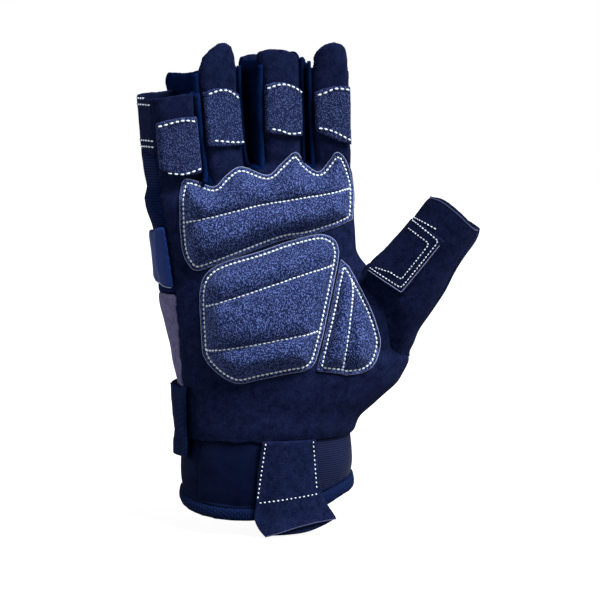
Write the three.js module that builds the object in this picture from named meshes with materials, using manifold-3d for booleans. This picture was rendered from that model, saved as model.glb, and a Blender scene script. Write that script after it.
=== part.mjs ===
import * as THREE from "three";
import { mergeVertices } from "three/addons/utils/BufferGeometryUtils.js";
import Module from "manifold-3d";

// Right-hand fingerless training glove, in the form that it has on a hand, palm to the front.
// Millimetres. +Z runs up the forearm to the fingertips, -Y out of the palm and +X to the thumb.
// The origin is the centre of the wrist opening, level with the lowest point of the front rim.

const wasm = await Module();
wasm.setup();

// Driving dimensions
const SEAM_GAP = 0.3; // between two panels sewn edge to edge, and under what is sewn on top
const SUEDE = 1.6; // wall of the hand, finger and thumb panels
const HAND_FOOT = 34; // the hand's lower edge, which laps over the top of the cuff
const BACK_JOIN = 100; // where the stretch fabric meets the suede on the back of the hand
const HAND_SIDES = 28;
const FINGER_SIDES = 16;
const PAST_TIPS = 16; // how far the finger tubes run on before their rims are cut
const FAR = 130; // past the glove in any direction

// The hand from the wrist seam to the finger roots: side edges, depth to the palm and back of its
// middle line, how far that line turns from the X axis, and where it crosses the middle.
const HAND = [
  { z: 34, left: -39, right: 40, front: 26.5, back: 26, turn: 8, middle: 0, squareness: 2.3 },
  { z: 42, left: -39, right: 43.5, front: 26.5, back: 24.5, turn: 7, middle: 0, squareness: 2.3 },
  { z: 50, left: -39.5, right: 51, front: 26.5, back: 23, turn: 6, middle: -0.5, squareness: 2.3 },
  { z: 59, left: -40.8, right: 60, front: 26, back: 22, turn: 5, middle: -1, squareness: 2.3 },
  { z: 68, left: -42.2, right: 64, front: 25, back: 21.5, turn: 5, middle: -1, squareness: 2.4 },
  { z: 80, left: -44.6, right: 62, front: 23.5, back: 20.5, turn: 6, middle: -0.5, squareness: 2.4 },
  { z: 94, left: -47.2, right: 55, front: 21.5, back: 20, turn: 8, middle: 0, squareness: 2.5 },
  { z: 107, left: -48.2, right: 47.6, front: 20, back: 19, turn: 10, middle: 0, squareness: 2.6 },
  { z: 118, left: -49.4, right: 41.4, front: 18.5, back: 18, turn: 12, middle: 0, squareness: 2.7 },
  { z: 131, left: -51, right: 40.6, front: 16.5, back: 16.5, turn: 15, middle: 0.3, squareness: 2.9 },
  { z: 143, left: -54.4, right: 40.3, front: 15, back: 15.2, turn: 17, middle: 0.5, squareness: 3.1 },
];
// Crotch height between the fingers, which rises from the little finger to the middle finger.
const WEB = { low: 148.5, high: 158.5, lowX: -23, highX: -5, drop: 3 };

// Finger tubes: axis from root to rim, width across, depth from palm to back and turn about the
// axis. slope is how far the rim falls to the back for each millimetre. tip is the top edge of the
// palm strip from side to side: share of its half width, and length past the root.
const FINGERS = [
  {
    name: "pinky", root: [-40.9, -10.5, 150], rim: [-43.8, -23.5, 188.5], width: 21.5, depth: 23, turn: 24,
    slope: 0.27,
    tip: [[-1, 43.9], [0, 43.7], [1, 42.5]],
  },
  {
    name: "ring", root: [-22.9, -3, 152], rim: [-28, -8, 200], width: 20.5, depth: 28, turn: 31,
    slope: 0.1,
    tip: [[-1, 50.4], [-0.8, 54.8], [-0.45, 58.2], [0, 60.4], [0.4, 60.6], [0.75, 58.2], [1, 51.4]],
  },
  {
    name: "middle", root: [2.7, 5, 158], rim: [1.5, -2, 205], width: 20.5, depth: 28.5, turn: 26,
    slope: 0.1,
    tip: [[-1, 51], [-0.7, 52.8], [-0.2, 53.2], [0.35, 52], [0.8, 50], [1, 48]],
  },
  {
    name: "index", root: [28.1, 12, 158], rim: [26.3, 5, 200], width: 19, depth: 28, turn: 14,
    slope: 0.1,
    tip: [[-1, 49.2], [-0.75, 52.4], [-0.35, 55.6], [0.15, 57], [0.65, 55.6], [0.95, 52.2], [1, 46.4]],
  },
];
const FINGER_SQUARENESS = 5;
const FINGER_BURIED = 22; // length of a finger tube inside the hand
const FINGER_CORNER = 3.2; // depth of the rounded corner between a finger's face and its side
const STRIP_INSET = 0.7; // from a finger's corner to the edge of its palm strip
const FINGER_CAP = 25; // length of the suede cap on the back of a finger
const STRIP_SHORT = 4; // how far a finger's panels stay short of the buried end of its tube
const REACH = { palm: 4, back: 8 }; // how far a finger's cutting bodies stand past its two faces

// Grained patches on the palm strips: lower and upper edge at each side, past the root, and how
// far both edges bow upwards in the middle.
const PATCHES = {
  pinky: { low: [11.5, 6.2], high: [32.6, 31.8], bow: [-2, 1] },
  ring: { low: [16, 14], high: [39.4, 36.2], bow: [-0.4, 2.6] },
  middle: { low: [16.8, 13.4], high: [37.6, 33.6], bow: [-0.4, 2.6] },
  index: { low: [17.6, 10], high: [34.6, 36.2], bow: [-0.6, 1.4] },
};

// The thumb tube: axis, and sections along it with their shift across the axis.
const THUMB = {
  root: [48, 0, 79], rim: [84.8, -12, 135.6], width: 26, depth: 26, turn: -8, slope: 0.1, squareness: 2.8,
};
const THUMB_SECTIONS = [
  { at: -10, width: 27, depth: 27, shift: 0 },
  { at: 8, width: 33.5, depth: 32.5, shift: -0.6 },
  { at: 28, width: 35.4, depth: 31, shift: -2.1 },
  { at: 48, width: 29.6, depth: 27.5, shift: -1 },
  { at: 67.5, width: 24.6, depth: 25, shift: 0 },
];
const THUMB_SPLIT = 3; // from the thumb's axis towards the palm, to its side seams

// Seams of the palm: to the side panel at the little finger's side, and round the thumb.
const PALM_SEAM = [
  { x: -35.5, z: 34 },
  { x: -35.8, z: 49 },
  { x: -38, z: 62 },
  { x: -38.6, z: 82 },
  { x: -40, z: 101 },
  { x: -44.4, z: 131 },
  { x: -46.2, z: 146 },
];
const THUMB_SEAM = [
  { x: 46.8, z: 113.5 },
  { x: 51.5, z: 101.4 },
  { x: 54.7, z: 87.9 },
  { x: 56.9, z: 74.4 },
  { x: 64.5, z: 70 },
];
const INDEX_SEAM = { low: 116, high: 152, x: 30, toPalm: 1.05 }; // the side seam's rise to the index finger
const WEB_LINE = [-46, -23, -17, -11, -5, 22, 40]; // where the palm's top edge is set out

// Padding on the palm: rails from one end to the other, with a padded channel between each two.
const PADS = {
  upper_palm_pad: [
    [[-37.4, 143.5], [-36.2, 149.6], [-34.1, 151.5], [-29, 150], [-22.3, 147.8], [-17, 153], [-10.5, 156.6],
      [1, 152.8], [7, 157.6], [13.6, 163], [18, 157.6], [24, 154], [28.6, 158.6], [32.4, 162.9], [36.4, 159],
      [39.3, 148.6]],
    [[-37.4, 132], [-21.1, 135.3], [-2.5, 139.7], [12.4, 142], [27.2, 144.2], [39.4, 146.9]],
    [[-37.4, 130.5], [-36.4, 119.8], [-33.6, 113.6], [-30, 111.2], [-22.5, 113.5], [-2.5, 120.9],
      [8.7, 124.5], [19.7, 126], [30.9, 129.3], [38.6, 132.6]],
  ],
  lower_palm_pad: [
    [[-28.8, 101], [-27.4, 107.1], [-23.3, 111.9], [-15.8, 115.3], [-2.5, 119], [10.9, 123.4], [22.8, 126],
      [28, 125.3], [31.6, 122.7], [33, 118.2]],
    [[-28.8, 94.5], [-2.5, 102.7], [16.1, 108.6], [32.4, 113]],
    [[-27.8, 75.3], [-9.9, 77.9], [8.7, 81.2], [26.2, 84.4]],
    [[-27.6, 74], [-25.5, 70], [-21.1, 65.6], [-15.8, 62.2], [-10.7, 61.1], [-2.5, 63], [10.9, 65.6],
      [17.5, 66.7], [21.2, 68.9], [23.1, 73], [25.7, 82.2]],
  ],
  thumb_base_pad: [
    [[34.2, 114.6], [29.3, 92], [23.3, 66.6]],
    [[35.8, 113], [39.2, 103], [37.7, 86.2], [34.4, 65]],
    [[37.2, 112], [39.9, 107.4], [46.3, 95.2], [50.1, 85.1], [51.5, 77.5], [48.9, 69], [43.8, 65.2],
      [36, 64.3]],
  ],
};
const PADDING = { seam: 1.2, crown: 3.2, buried: 1, rows: 4, columns: 24, taper: 5 };

const PATCH_RISE = 1.2; // thickness of the patches on fingers and thumb, with the gap under them
const THUMB_PATCH = [[64.6, 134.6], [79.2, 123.4], [60.8, 99.9], [45.4, 110.6]];
const GUARD = { bottom: 103, top: 130.5, front: -FAR, back: -1, corner: 10, thickness: 2 };

// The cuff's rim: its height at the front, thumb side, little finger's side and back.
const RIM = { front: 0, thumb: 11, ulnar: 5, back: 6 };
const CUFF = {
  top: 37, shoulder: 28, hem: 0.3, wall: 2.4, halfWidth: 39.5, halfDepth: 26, turn: 8, squareness: 2.3,
};
const CUFF_SEAMS = { ulnar: 147, thumb: 54, back: 292 }; // degrees round from the thumb side by the palm
const BINDING = { height: 5, wall: 3.4, round: 0.8 };
const STRAP = { bottom: 25.5, top: 59, tip: 28, corner: 7, rise: 3.2, tape: 0.7, end: -35.8, join: -7 };

// The pull tab: rows down its leaf, with the place of each edge and how far the leaf stands out
// from the cuff. At the last row it folds under and runs up behind itself.
const TAB = [
  { left: -1.3, leftZ: 33.4, right: 23.1, rightZ: 33.4, out: 0.4 },
  { left: -3.4, leftZ: 20, right: 24, rightZ: 21, out: 0.4 },
  { left: -4, leftZ: 7.8, right: 24.8, rightZ: 10.2, out: 0.7 },
  { left: -4.9, leftZ: 1.5, right: 27, rightZ: 6.9, out: 1.4 },
  { left: -3.2, leftZ: -2.5, right: 29, rightZ: 3.8, out: 2.2 },
  { left: -1, leftZ: -5.2, right: 30.8, rightZ: 1.6, out: 2.6 },
];
const TAB_LEAF = 1.3;
const TAB_FOLD = { radius: 0.7, steps: 4, rise: 3 };

// Closed bodies from rings and grids of points

function solidFrom(points, faces) {
  let sixVolumes = 0;
  for (const [a, b, c] of faces) sixVolumes += points[a].dot(points[b].clone().cross(points[c]));
  const outward = sixVolumes > 0 ? faces : faces.map(([a, b, c]) => [a, c, b]);
  const geometry = new THREE.BufferGeometry().setFromPoints(points);
  geometry.setIndex(outward.flat());
  return solidOf(geometry);
}

function solidOf(geometry) {
  const bare = geometry.clone();
  bare.deleteAttribute("normal");
  bare.deleteAttribute("uv");
  const merged = mergeVertices(bare, 1e-4);
  const mesh = { numProp: 3, vertProperties: merged.attributes.position.array };
  mesh.triVerts = new Uint32Array(merged.index.array);
  return new wasm.Manifold(new wasm.Mesh(mesh));
}

function geometryOf(solid) {
  const { vertProperties, triVerts } = solid.getMesh();
  const geometry = new THREE.BufferGeometry();
  geometry.setAttribute("position", new THREE.BufferAttribute(vertProperties, 3));
  geometry.setIndex(new THREE.BufferAttribute(triVerts, 1));
  return geometry;
}

// A body through rings with the same even number of points, point 0 at one side and the middle
// point at the other. Each end is closed straight across between the ring's two halves.
function loft(rings) {
  const sides = rings[0].length;
  const faces = [];
  for (let r = 0; r + 1 < rings.length; r++)
    for (let i = 0; i < sides; i++) {
      const [a, b] = [r * sides + i, r * sides + ((i + 1) % sides)];
      faces.push([a, b, b + sides], [a, b + sides, a + sides]);
    }
  const last = (rings.length - 1) * sides;
  for (let i = 0; i < sides / 2; i++) {
    const [a, b, c, d] = [i, i + 1, sides - i - 1, (sides - i) % sides];
    if (b < c) faces.push([b, a, c], [last + a, last + b, last + c]);
    if (a !== d) faces.push([c, a, d], [last + a, last + c, last + d]);
  }
  return solidFrom(rings.flat(), faces);
}

// A wall between two grids of points, grid[row][column], with its four edges closed.
function wall(outer, inner) {
  const rows = outer.length;
  const columns = outer[0].length;
  const points = [...outer.flat(), ...inner.flat()];
  const behind = rows * columns;
  const at = (r, c) => r * columns + c;
  const faces = [];
  const quad = (a, b, c, d) => faces.push([a, b, c], [a, c, d]);
  for (let r = 0; r + 1 < rows; r++)
    for (let c = 0; c + 1 < columns; c++) {
      quad(at(r, c), at(r, c + 1), at(r + 1, c + 1), at(r + 1, c));
      quad(behind + at(r, c), behind + at(r + 1, c), behind + at(r + 1, c + 1), behind + at(r, c + 1));
    }
  const rim = [];
  for (let c = 0; c < columns; c++) rim.push(at(0, c));
  for (let r = 1; r < rows; r++) rim.push(at(r, columns - 1));
  for (let c = columns - 2; c >= 0; c--) rim.push(at(rows - 1, c));
  for (let r = rows - 2; r > 0; r--) rim.push(at(r, 0));
  rim.forEach((a, i) => {
    const b = rim[(i + 1) % rim.length];
    quad(b, a, behind + a, behind + b);
  });
  return solidFrom(points, faces);
}

// A closed band through sections that run round and meet the first again.
function band(sections) {
  const sides = sections[0].length;
  const points = sections.flat();
  const faces = [];
  sections.forEach((section, s) => {
    const on = ((s + 1) % sections.length) * sides;
    for (let i = 0; i < sides; i++) {
      const next = (i + 1) % sides;
      faces.push([s * sides + i, s * sides + next, on + next], [s * sides + i, on + next, on + i]);
    }
  });
  return solidFrom(points, faces);
}

// A straight-sided body on a flat outline. place(a, b, depth) puts an outline point in space.
function prism(outline, place, near, far) {
  const faces = THREE.ShapeUtils.triangulateShape(outline, []);
  const count = outline.length;
  const points = [near, far].flatMap((depth) => outline.map((p) => place(p.x, p.y, depth)));
  const all = [...faces, ...faces.map(([a, b, c]) => [c + count, b + count, a + count])];
  const turned = THREE.ShapeUtils.area(outline) > 0;
  for (let i = 0; i < count; i++) {
    const next = (i + 1) % count;
    const side = turned ? [next, i] : [i, next];
    all.push([side[0], side[1], side[1] + count], [side[0], side[1] + count, side[0] + count]);
  }
  return solidFrom(points, all);
}

const frontPlace = (x, z, depth) => new THREE.Vector3(x, depth, z);
const sidePlace = (y, z, depth) => new THREE.Vector3(depth, y, z);
const topPlace = (x, y, depth) => new THREE.Vector3(x, y, depth);
const outlineOf = (pairs) => pairs.map(([a, b]) => new THREE.Vector2(a, b));

// An outline moved outwards by a distance, or inwards by a negative one.
function grown(outline, distance) {
  const outward = THREE.ShapeUtils.area(outline) > 0 ? 1 : -1;
  const normal = (p, q) => {
    const edge = q.clone().sub(p).normalize();
    return new THREE.Vector2(edge.y * outward, -edge.x * outward);
  };
  return outline.map((p, i) => {
    const before = normal(outline.at(i - 1), p);
    const after = normal(p, outline[(i + 1) % outline.length]);
    const reach = distance / Math.max(1 + before.dot(after), 0.4);
    return p.clone().addScaledVector(before, reach).addScaledVector(after, reach);
  });
}

// Forms of the hand

// A table's values at a height, on smooth curves through its rows.
function rowAt(table, z) {
  const last = table.length - 1;
  const after = table.findIndex((row) => row.z > z);
  const at = THREE.MathUtils.clamp(after < 0 ? last - 1 : after - 1, 0, last - 1);
  const [p, q] = [table[at], table[at + 1]];
  const span = q.z - p.z;
  const t = THREE.MathUtils.clamp((z - p.z) / span, 0, 1);
  const row = {};
  for (const key of Object.keys(p)) {
    const slope = (k) => {
      const [a, b] = [table[Math.max(k - 1, 0)], table[Math.min(k + 1, last)]];
      return (b[key] - a[key]) / (b.z - a.z);
    };
    const bend = slope(at) * (t ** 3 - 2 * t * t + t) + slope(at + 1) * (t ** 3 - t * t);
    row[key] = p[key] * (2 * t ** 3 - 3 * t * t + 1) + q[key] * (3 * t * t - 2 * t ** 3) + bend * span;
  }
  return { ...row, z };
}

const power = (value, exponent) => Math.sign(value) * Math.abs(value) ** exponent;

// A point of a rounded section: angle 0 is the thumb side, 90 degrees the palm.
function sectionPoint(angle, squareness, halfWidth, front, back) {
  const across = halfWidth * power(Math.cos(angle), 2 / squareness);
  const toPalm = power(Math.sin(angle), 2 / squareness) * (Math.sin(angle) > 0 ? front : back);
  return { across, toPalm };
}

// A section of the hand or cuff, grown by a distance, with its height from a function of x and y.
function turnedRing(row, grow, height = () => row.z) {
  const turn = THREE.MathUtils.degToRad(row.turn);
  const halfWidth = (row.right - row.left) / 2 / Math.cos(turn);
  const flat = [];
  for (let i = 0; i < HAND_SIDES; i++) {
    const angle = (2 * Math.PI * i) / HAND_SIDES;
    const p = sectionPoint(angle, row.squareness, halfWidth, row.front + grow, row.back + grow);
    flat.push({
      x: p.across * Math.cos(turn) + p.toPalm * Math.sin(turn),
      y: p.across * Math.sin(turn) - p.toPalm * Math.cos(turn),
    });
  }
  const [low, high] = [Math.min(...flat.map((p) => p.x)), Math.max(...flat.map((p) => p.x))];
  const stretch = (row.right - row.left + 2 * grow) / (high - low);
  return flat.map((p) => {
    const x = row.left - grow + (p.x - low) * stretch;
    const y = row.middle + p.y;
    return new THREE.Vector3(x, y, height(x, y));
  });
}

const webHeight = (x) =>
  WEB.low + (WEB.high - WEB.low) * THREE.MathUtils.smoothstep(x, WEB.lowX, WEB.highX);

// The hand without its fingers, rounded over at the crotches.
function handForm(grow, foot) {
  const heights = HAND.map((row) => row.z);
  if (foot < HAND_FOOT) heights.unshift(foot);
  const rings = heights.map((z) => turnedRing({ ...rowAt(HAND, z) }, grow));
  const shoulder = [
    { inset: 0.4, drop: 5 },
    { inset: 2, drop: 1.8 },
    { inset: 5.5, drop: 0 },
  ];
  for (const { inset, drop } of shoulder)
    rings.push(turnedRing(HAND.at(-1), grow - inset, (x) => webHeight(x) - drop + grow));
  return loft(rings);
}

// The axes of a finger: along it to the rim, across it, and out of its palm side.
function fingerAxes(finger) {
  const root = new THREE.Vector3(...finger.root);
  const along = new THREE.Vector3(...finger.rim).sub(root);
  const length = along.length();
  along.normalize();
  const turn = THREE.MathUtils.degToRad(finger.turn);
  const palmward = new THREE.Vector3(Math.sin(turn), -Math.cos(turn), 0);
  palmward.addScaledVector(along, -palmward.dot(along)).normalize();
  const across = new THREE.Vector3().crossVectors(along, palmward);
  const place = (u, w, v) =>
    root.clone().addScaledVector(across, u).addScaledVector(along, w).addScaledVector(palmward, v);
  return { length, place };
}

function tube(finger, grow, sections, squareness) {
  const { place } = fingerAxes(finger);
  const rings = sections.map(({ at, width, depth, shift = 0 }) => {
    const ring = [];
    for (let k = 0; k < FINGER_SIDES; k++) {
      const angle = (2 * Math.PI * k) / FINGER_SIDES;
      const p = sectionPoint(angle, squareness, width / 2 + grow, depth / 2 + grow, depth / 2 + grow);
      ring.push(place(p.across + shift, at, p.toPalm));
    }
    return ring;
  });
  return loft(rings);
}

function fingerForm(finger, grow, past) {
  const { width, depth } = finger;
  const sections = [
    { at: -FINGER_BURIED, width: width - 6, depth: depth - 14 },
    { at: -8, width: width - 2.5, depth: depth - 5 },
    { at: 6, width, depth },
    { at: fingerAxes(finger).length + past, width, depth },
  ];
  return tube(finger, grow, sections, FINGER_SQUARENESS);
}

function thumbForm(grow, past) {
  const end = THUMB_SECTIONS.at(-1);
  const sections = [...THUMB_SECTIONS.slice(0, -1), { ...end, at: end.at + past }];
  return tube(THUMB, grow, sections, THUMB.squareness);
}

// The whole hand grown by a distance, with each finger run on past its rim.
function gloveForm(grow, past, foot) {
  let form = handForm(grow, foot).add(thumbForm(grow, past / 2));
  for (const finger of FINGERS) form = form.add(fingerForm(finger, grow, past));
  return form;
}

// What is cut off above the sloping rim of a finger.
function aboveRim(finger) {
  const { length, place } = fingerAxes(finger);
  const [beside, behind] = [finger.width / 2 + 1, finger.depth / 2 + 1];
  const edge = (v) => [v, length + v * finger.slope];
  const outline = outlineOf([edge(-behind), edge(behind), [behind, 2 * length], [-behind, 2 * length]]);
  return prism(outline, (v, w, u) => place(u, w, v), -beside, beside);
}

// Regions that cut the wall into its sewn panels

// Everything on the palm side of the hand's middle line, which is the seam between palm and back.
function palmHalf(shift) {
  const stations = [-FAR, -60, -40, -20, 0, 20, INDEX_SEAM.x, 40, 50, 60, FAR];
  const heights = [0, 34, 50, 68, 80, 94, 107, 118, 128, 138, 146, 152, 200];
  const rings = heights.map((z) => {
    const row = rowAt(HAND, z);
    const slope = Math.tan(THREE.MathUtils.degToRad(row.turn));
    const centre = (row.left + row.right) / 2;
    const rise = THREE.MathUtils.smoothstep(z, INDEX_SEAM.low, INDEX_SEAM.high) * INDEX_SEAM.toPalm;
    const line = (x) => {
      const y = row.middle + (x - centre) * slope - rise * Math.max(x - INDEX_SEAM.x, 0);
      return new THREE.Vector3(x, y + shift, z);
    };
    const front = (x) => new THREE.Vector3(x, -FAR, z);
    return [...stations.map(line), ...stations.map(front).reverse()];
  });
  return loft(rings);
}

function palmOutline() {
  const seam = PALM_SEAM.map(({ x, z }) => [x, z]);
  const top = WEB_LINE.map((x) => [x, webHeight(x) - WEB.drop]);
  const foot = HAND_FOOT - 3;
  return outlineOf([[FAR, foot], [seam[0][0], foot], ...seam, ...top, [FAR, WEB.high - WEB.drop]]);
}

// The palm side of a finger, between its two front corners.
function palmStrip(finger, shift) {
  const half = finger.width / 2 - STRIP_INSET;
  const tip = finger.tip.map(([share, w]) => [share * half, w]).reverse();
  const foot = STRIP_SHORT - FINGER_BURIED;
  const outline = outlineOf([[-half, foot], [half, foot], ...tip]);
  const face = finger.depth / 2 - FINGER_CORNER - shift;
  return prism(grown(outline, shift), fingerAxes(finger).place, face, finger.depth / 2 + REACH.palm);
}

function palmRegion(shift) {
  let region = prism(grown(palmOutline(), shift), frontPlace, -FAR, FAR).intersect(palmHalf(shift));
  for (const finger of FINGERS) region = region.add(palmStrip(finger, shift));
  return region;
}

function thumbRegion(shift) {
  const seam = THUMB_SEAM.map(({ x, z }) => [x, z]);
  const outline = outlineOf([...seam, [FAR, 62], [FAR, 200], [52, 200]]);
  return prism(grown(outline, shift), frontPlace, -FAR, FAR);
}

// A slice of the thumb across its depth, from one distance towards the palm to another.
function thumbSlice(from, to) {
  const whole = outlineOf([[-FAR, -FAR], [FAR, -FAR], [FAR, FAR], [-FAR, FAR]]);
  return prism(whole, fingerAxes(THUMB).place, from, to);
}

// The back of a finger between its rear corners. The backs of the little and index fingers wrap
// round their free side to the palm strip.
function backStrip(finger, from, to, shift) {
  const { place } = fingerAxes(finger);
  const half = finger.width / 2 - STRIP_INSET;
  const corner = finger.depth / 2 - FINGER_CORNER;
  const flat = outlineOf([[-half, from], [half, from], [half, to], [-half, to]]);
  let strip = prism(grown(flat, shift), place, -corner - REACH.back, shift - corner);
  const free = { pinky: -1, index: 1 }[finger.name];
  if (free) {
    const [inner, outer] = [free * (half - 2), free * (half + REACH.back)];
    const side = outlineOf([[inner, from], [outer, from], [outer, to], [inner, to]]);
    strip = strip.add(prism(grown(side, shift), place, -corner - REACH.back, corner + REACH.back));
  }
  return strip;
}

// The back of the hand with the backs of all fingers, up to their hems or past their rims.
function backRegion(shift, toHems) {
  const top = WEB_LINE.map((x) => [x, webHeight(x) - WEB.drop]).reverse();
  const [low, high] = [WEB.low - WEB.drop, WEB.high - WEB.drop];
  const outline = outlineOf([[-FAR, 0], [FAR, 0], [FAR, high], ...top, [-FAR, low]]);
  let region = prism(grown(outline, shift), frontPlace, -FAR, FAR);
  for (const finger of FINGERS) {
    const end = toHems ? fingerAxes(finger).length - FINGER_CAP : FAR;
    region = region.add(backStrip(finger, STRIP_SHORT - FINGER_BURIED, end, shift));
  }
  return region;
}

const slab = (low, high) =>
  prism(outlineOf([[-FAR, low], [FAR, low], [FAR, high], [-FAR, high]]), frontPlace, -FAR, FAR);

// The space between the axes of two neighbouring fingers.
function gussetRegion(one, other) {
  const [a, b] = [one, other].map((finger) => fingerAxes(finger).place);
  const ends = [a(0, -FINGER_BURIED, 0), a(0, 70, 0), b(0, 70, 0), b(0, -FINGER_BURIED, 0)];
  return prism(outlineOf(ends.map((p) => [p.x, p.z])), frontPlace, -FAR, FAR);
}

// Sewn panels of the hand

const HALF_GAP = SEAM_GAP / 2;
const hollow = gloveForm(-SUEDE, PAST_TIPS + 2, HAND_FOOT - 5);
const tall = gloveForm(0, PAST_TIPS, HAND_FOOT);
const toRims = [...FINGERS, THUMB].reduce((form, finger) => form.subtract(aboveRim(finger)), tall);
const clearOfHand = gloveForm(SEAM_GAP, PAST_TIPS, HAND_FOOT - SEAM_GAP);

function handPanels() {
  const panels = {};
  const offThumb = thumbRegion(HALF_GAP);
  panels.palm_panel = tall.subtract(hollow).subtract(offThumb).intersect(palmRegion(-HALF_GAP));
  const shell = toRims.subtract(hollow).subtract(offThumb).subtract(palmRegion(HALF_GAP));
  const back = shell.intersect(backRegion(-HALF_GAP, true));
  panels.stretch_back = back.intersect(slab(BACK_JOIN + HALF_GAP, FAR * 2));
  panels.suede_back = back.intersect(slab(0, BACK_JOIN - HALF_GAP));
  for (const finger of FINGERS) {
    const hem = fingerAxes(finger).length - FINGER_CAP + SEAM_GAP;
    panels[`${finger.name}_back`] = shell.intersect(backStrip(finger, hem, FAR, -HALF_GAP));
  }
  const between = shell.subtract(backRegion(HALF_GAP, false));
  for (let i = 0; i + 1 < FINGERS.length; i++) {
    const [one, other] = [FINGERS[i], FINGERS[i + 1]];
    panels[`gusset_${one.name}_${other.name}`] = between.intersect(gussetRegion(one, other));
  }
  const thumbWall = toRims.subtract(hollow).intersect(thumbRegion(-HALF_GAP));
  panels.thumb_front = thumbWall.intersect(thumbSlice(THUMB_SPLIT + HALF_GAP, FAR));
  panels.thumb_back = thumbWall.intersect(thumbSlice(-FAR, THUMB_SPLIT - HALF_GAP));
  return panels;
}

// Padding and patches on the palm side

const bothSides = new THREE.MeshBasicMaterial({ side: THREE.DoubleSide });
const palmSurface = new THREE.Mesh(geometryOf(toRims), bothSides);
const caster = new THREE.Raycaster();
const intoGlove = new THREE.Vector3(0, 1, 0);

// The y of the glove's front surface, or that of the last place where there is one.
function surfaceY(x, z, last) {
  caster.set(new THREE.Vector3(x, -FAR, z), intoGlove);
  const [hit] = caster.intersectObject(palmSurface);
  return hit ? hit.point.y : last;
}

function railPoints(rail, count) {
  return new THREE.SplineCurve(outlineOf(rail)).getSpacedPoints(count);
}

// A quilted pad: padded channels that swell between the stitched rails.
function pad(rails) {
  const { seam, crown, buried, rows, columns, taper } = PADDING;
  const lines = rails.map((rail) => railPoints(rail, columns));
  const length = new THREE.SplineCurve(outlineOf(rails[1])).getLength();
  const [outer, inner] = [[], []];
  for (let c = 0; c + 1 < lines.length; c++)
    for (let r = c === 0 ? 0 : 1; r <= rows; r++) {
      const t = r / rows;
      const line = lines[c].map((p, k) => p.clone().lerp(lines[c + 1][k], t));
      const swell = Math.sqrt(1 - (2 * t - 1) ** 2);
      let y = 0;
      const surface = line.map((p) => (y = surfaceY(p.x, p.y, y)));
      const height = (k) => {
        const fromEnd = (Math.min(k, columns - k) * length) / columns / taper;
        return seam + crown * swell * Math.min(1, Math.sqrt(fromEnd));
      };
      outer.push(line.map((p, k) => new THREE.Vector3(p.x, surface[k] - height(k), p.y)));
      inner.push(line.map((p, k) => new THREE.Vector3(p.x, surface[k] + buried, p.y)));
    }
  return wall(outer, inner).subtract(clearOfHand);
}

function fingerPatch(finger) {
  const { low, high, bow } = PATCHES[finger.name];
  const half = finger.width / 2 - STRIP_INSET - 0.5;
  const edge = ([left, right], rise) =>
    [-1, -0.5, 0, 0.5, 1].map((share) => {
      const level = THREE.MathUtils.lerp(left, right, (share + 1) / 2);
      return [share * half, level + rise * (1 - share * share)];
    });
  const outline = outlineOf([...edge(low, bow[0]), ...edge(high, bow[1]).reverse()]);
  const face = finger.depth / 2 - FINGER_CORNER + SEAM_GAP;
  const padded = { ...finger, depth: finger.depth + 1.2 };
  const skin = fingerForm(padded, PATCH_RISE, 0);
  return skin.intersect(prism(outline, fingerAxes(finger).place, face, FAR / 2)).subtract(clearOfHand);
}

function thumbPatch() {
  const skin = thumbForm(PATCH_RISE, 0).intersect(prism(outlineOf(THUMB_PATCH), frontPlace, -FAR, FAR));
  return skin.intersect(thumbSlice(THUMB_SPLIT, FAR)).subtract(clearOfHand);
}

// A rubber guard from the palm seam round the little finger's side of the hand.
function sideGuard() {
  const { bottom, top, front, back, corner, thickness } = GUARD;
  const side = new THREE.Shape();
  side.moveTo(front, bottom);
  side.lineTo(back - corner, bottom);
  side.absarc(back - corner, bottom + corner, corner, -Math.PI / 2, 0);
  side.absarc(back - corner, top - corner, corner, 0, Math.PI / 2);
  side.lineTo(front, top);
  const region = prism(side.getPoints(6), sidePlace, -FAR, 0);
  const palm = prism(grown(palmOutline(), SEAM_GAP), frontPlace, -FAR, 0);
  return handForm(SEAM_GAP + thickness, HAND_FOOT).intersect(region).subtract(clearOfHand).subtract(palm);
}

// The cuff

function rimHeight(x, y) {
  const [u, v] = [x / CUFF.halfWidth, -y / CUFF.halfDepth];
  const mean = (RIM.front + RIM.thumb + RIM.ulnar + RIM.back) / 4;
  const sides = (RIM.thumb + RIM.ulnar - RIM.front - RIM.back) / 4;
  const twofold = (sides * (u * u - v * v)) / (u * u + v * v);
  return mean + twofold + (u * (RIM.thumb - RIM.ulnar)) / 2 + (v * (RIM.front - RIM.back)) / 2;
}

const CUFF_ROW = {
  left: -CUFF.halfWidth,
  right: CUFF.halfWidth,
  front: CUFF.halfDepth,
  back: CUFF.halfDepth,
  turn: CUFF.turn,
  middle: 0,
  squareness: CUFF.squareness,
};

// The cuff's body grown by a distance, from above the rim up into the hand's foot.
function cuffForm(grow, aboveRim, top) {
  const bottom = (x, y) => rimHeight(x, y) + aboveRim;
  const neck = SUEDE + SEAM_GAP + 0.2;
  const levels = [
    { row: CUFF_ROW, ease: CUFF.hem, height: bottom },
    { row: CUFF_ROW, ease: 0, height: (x, y) => THREE.MathUtils.lerp(bottom(x, y), CUFF.shoulder, 0.6) },
    { row: CUFF_ROW, ease: 0.4, height: () => CUFF.shoulder },
    { row: HAND[0], ease: neck, height: () => HAND_FOOT - 1 },
    { row: rowAt(HAND, CUFF.top), ease: neck, height: () => top },
  ];
  return loft(levels.map(({ row, ease, height }) => turnedRing(row, grow - ease, height)));
}

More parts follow.
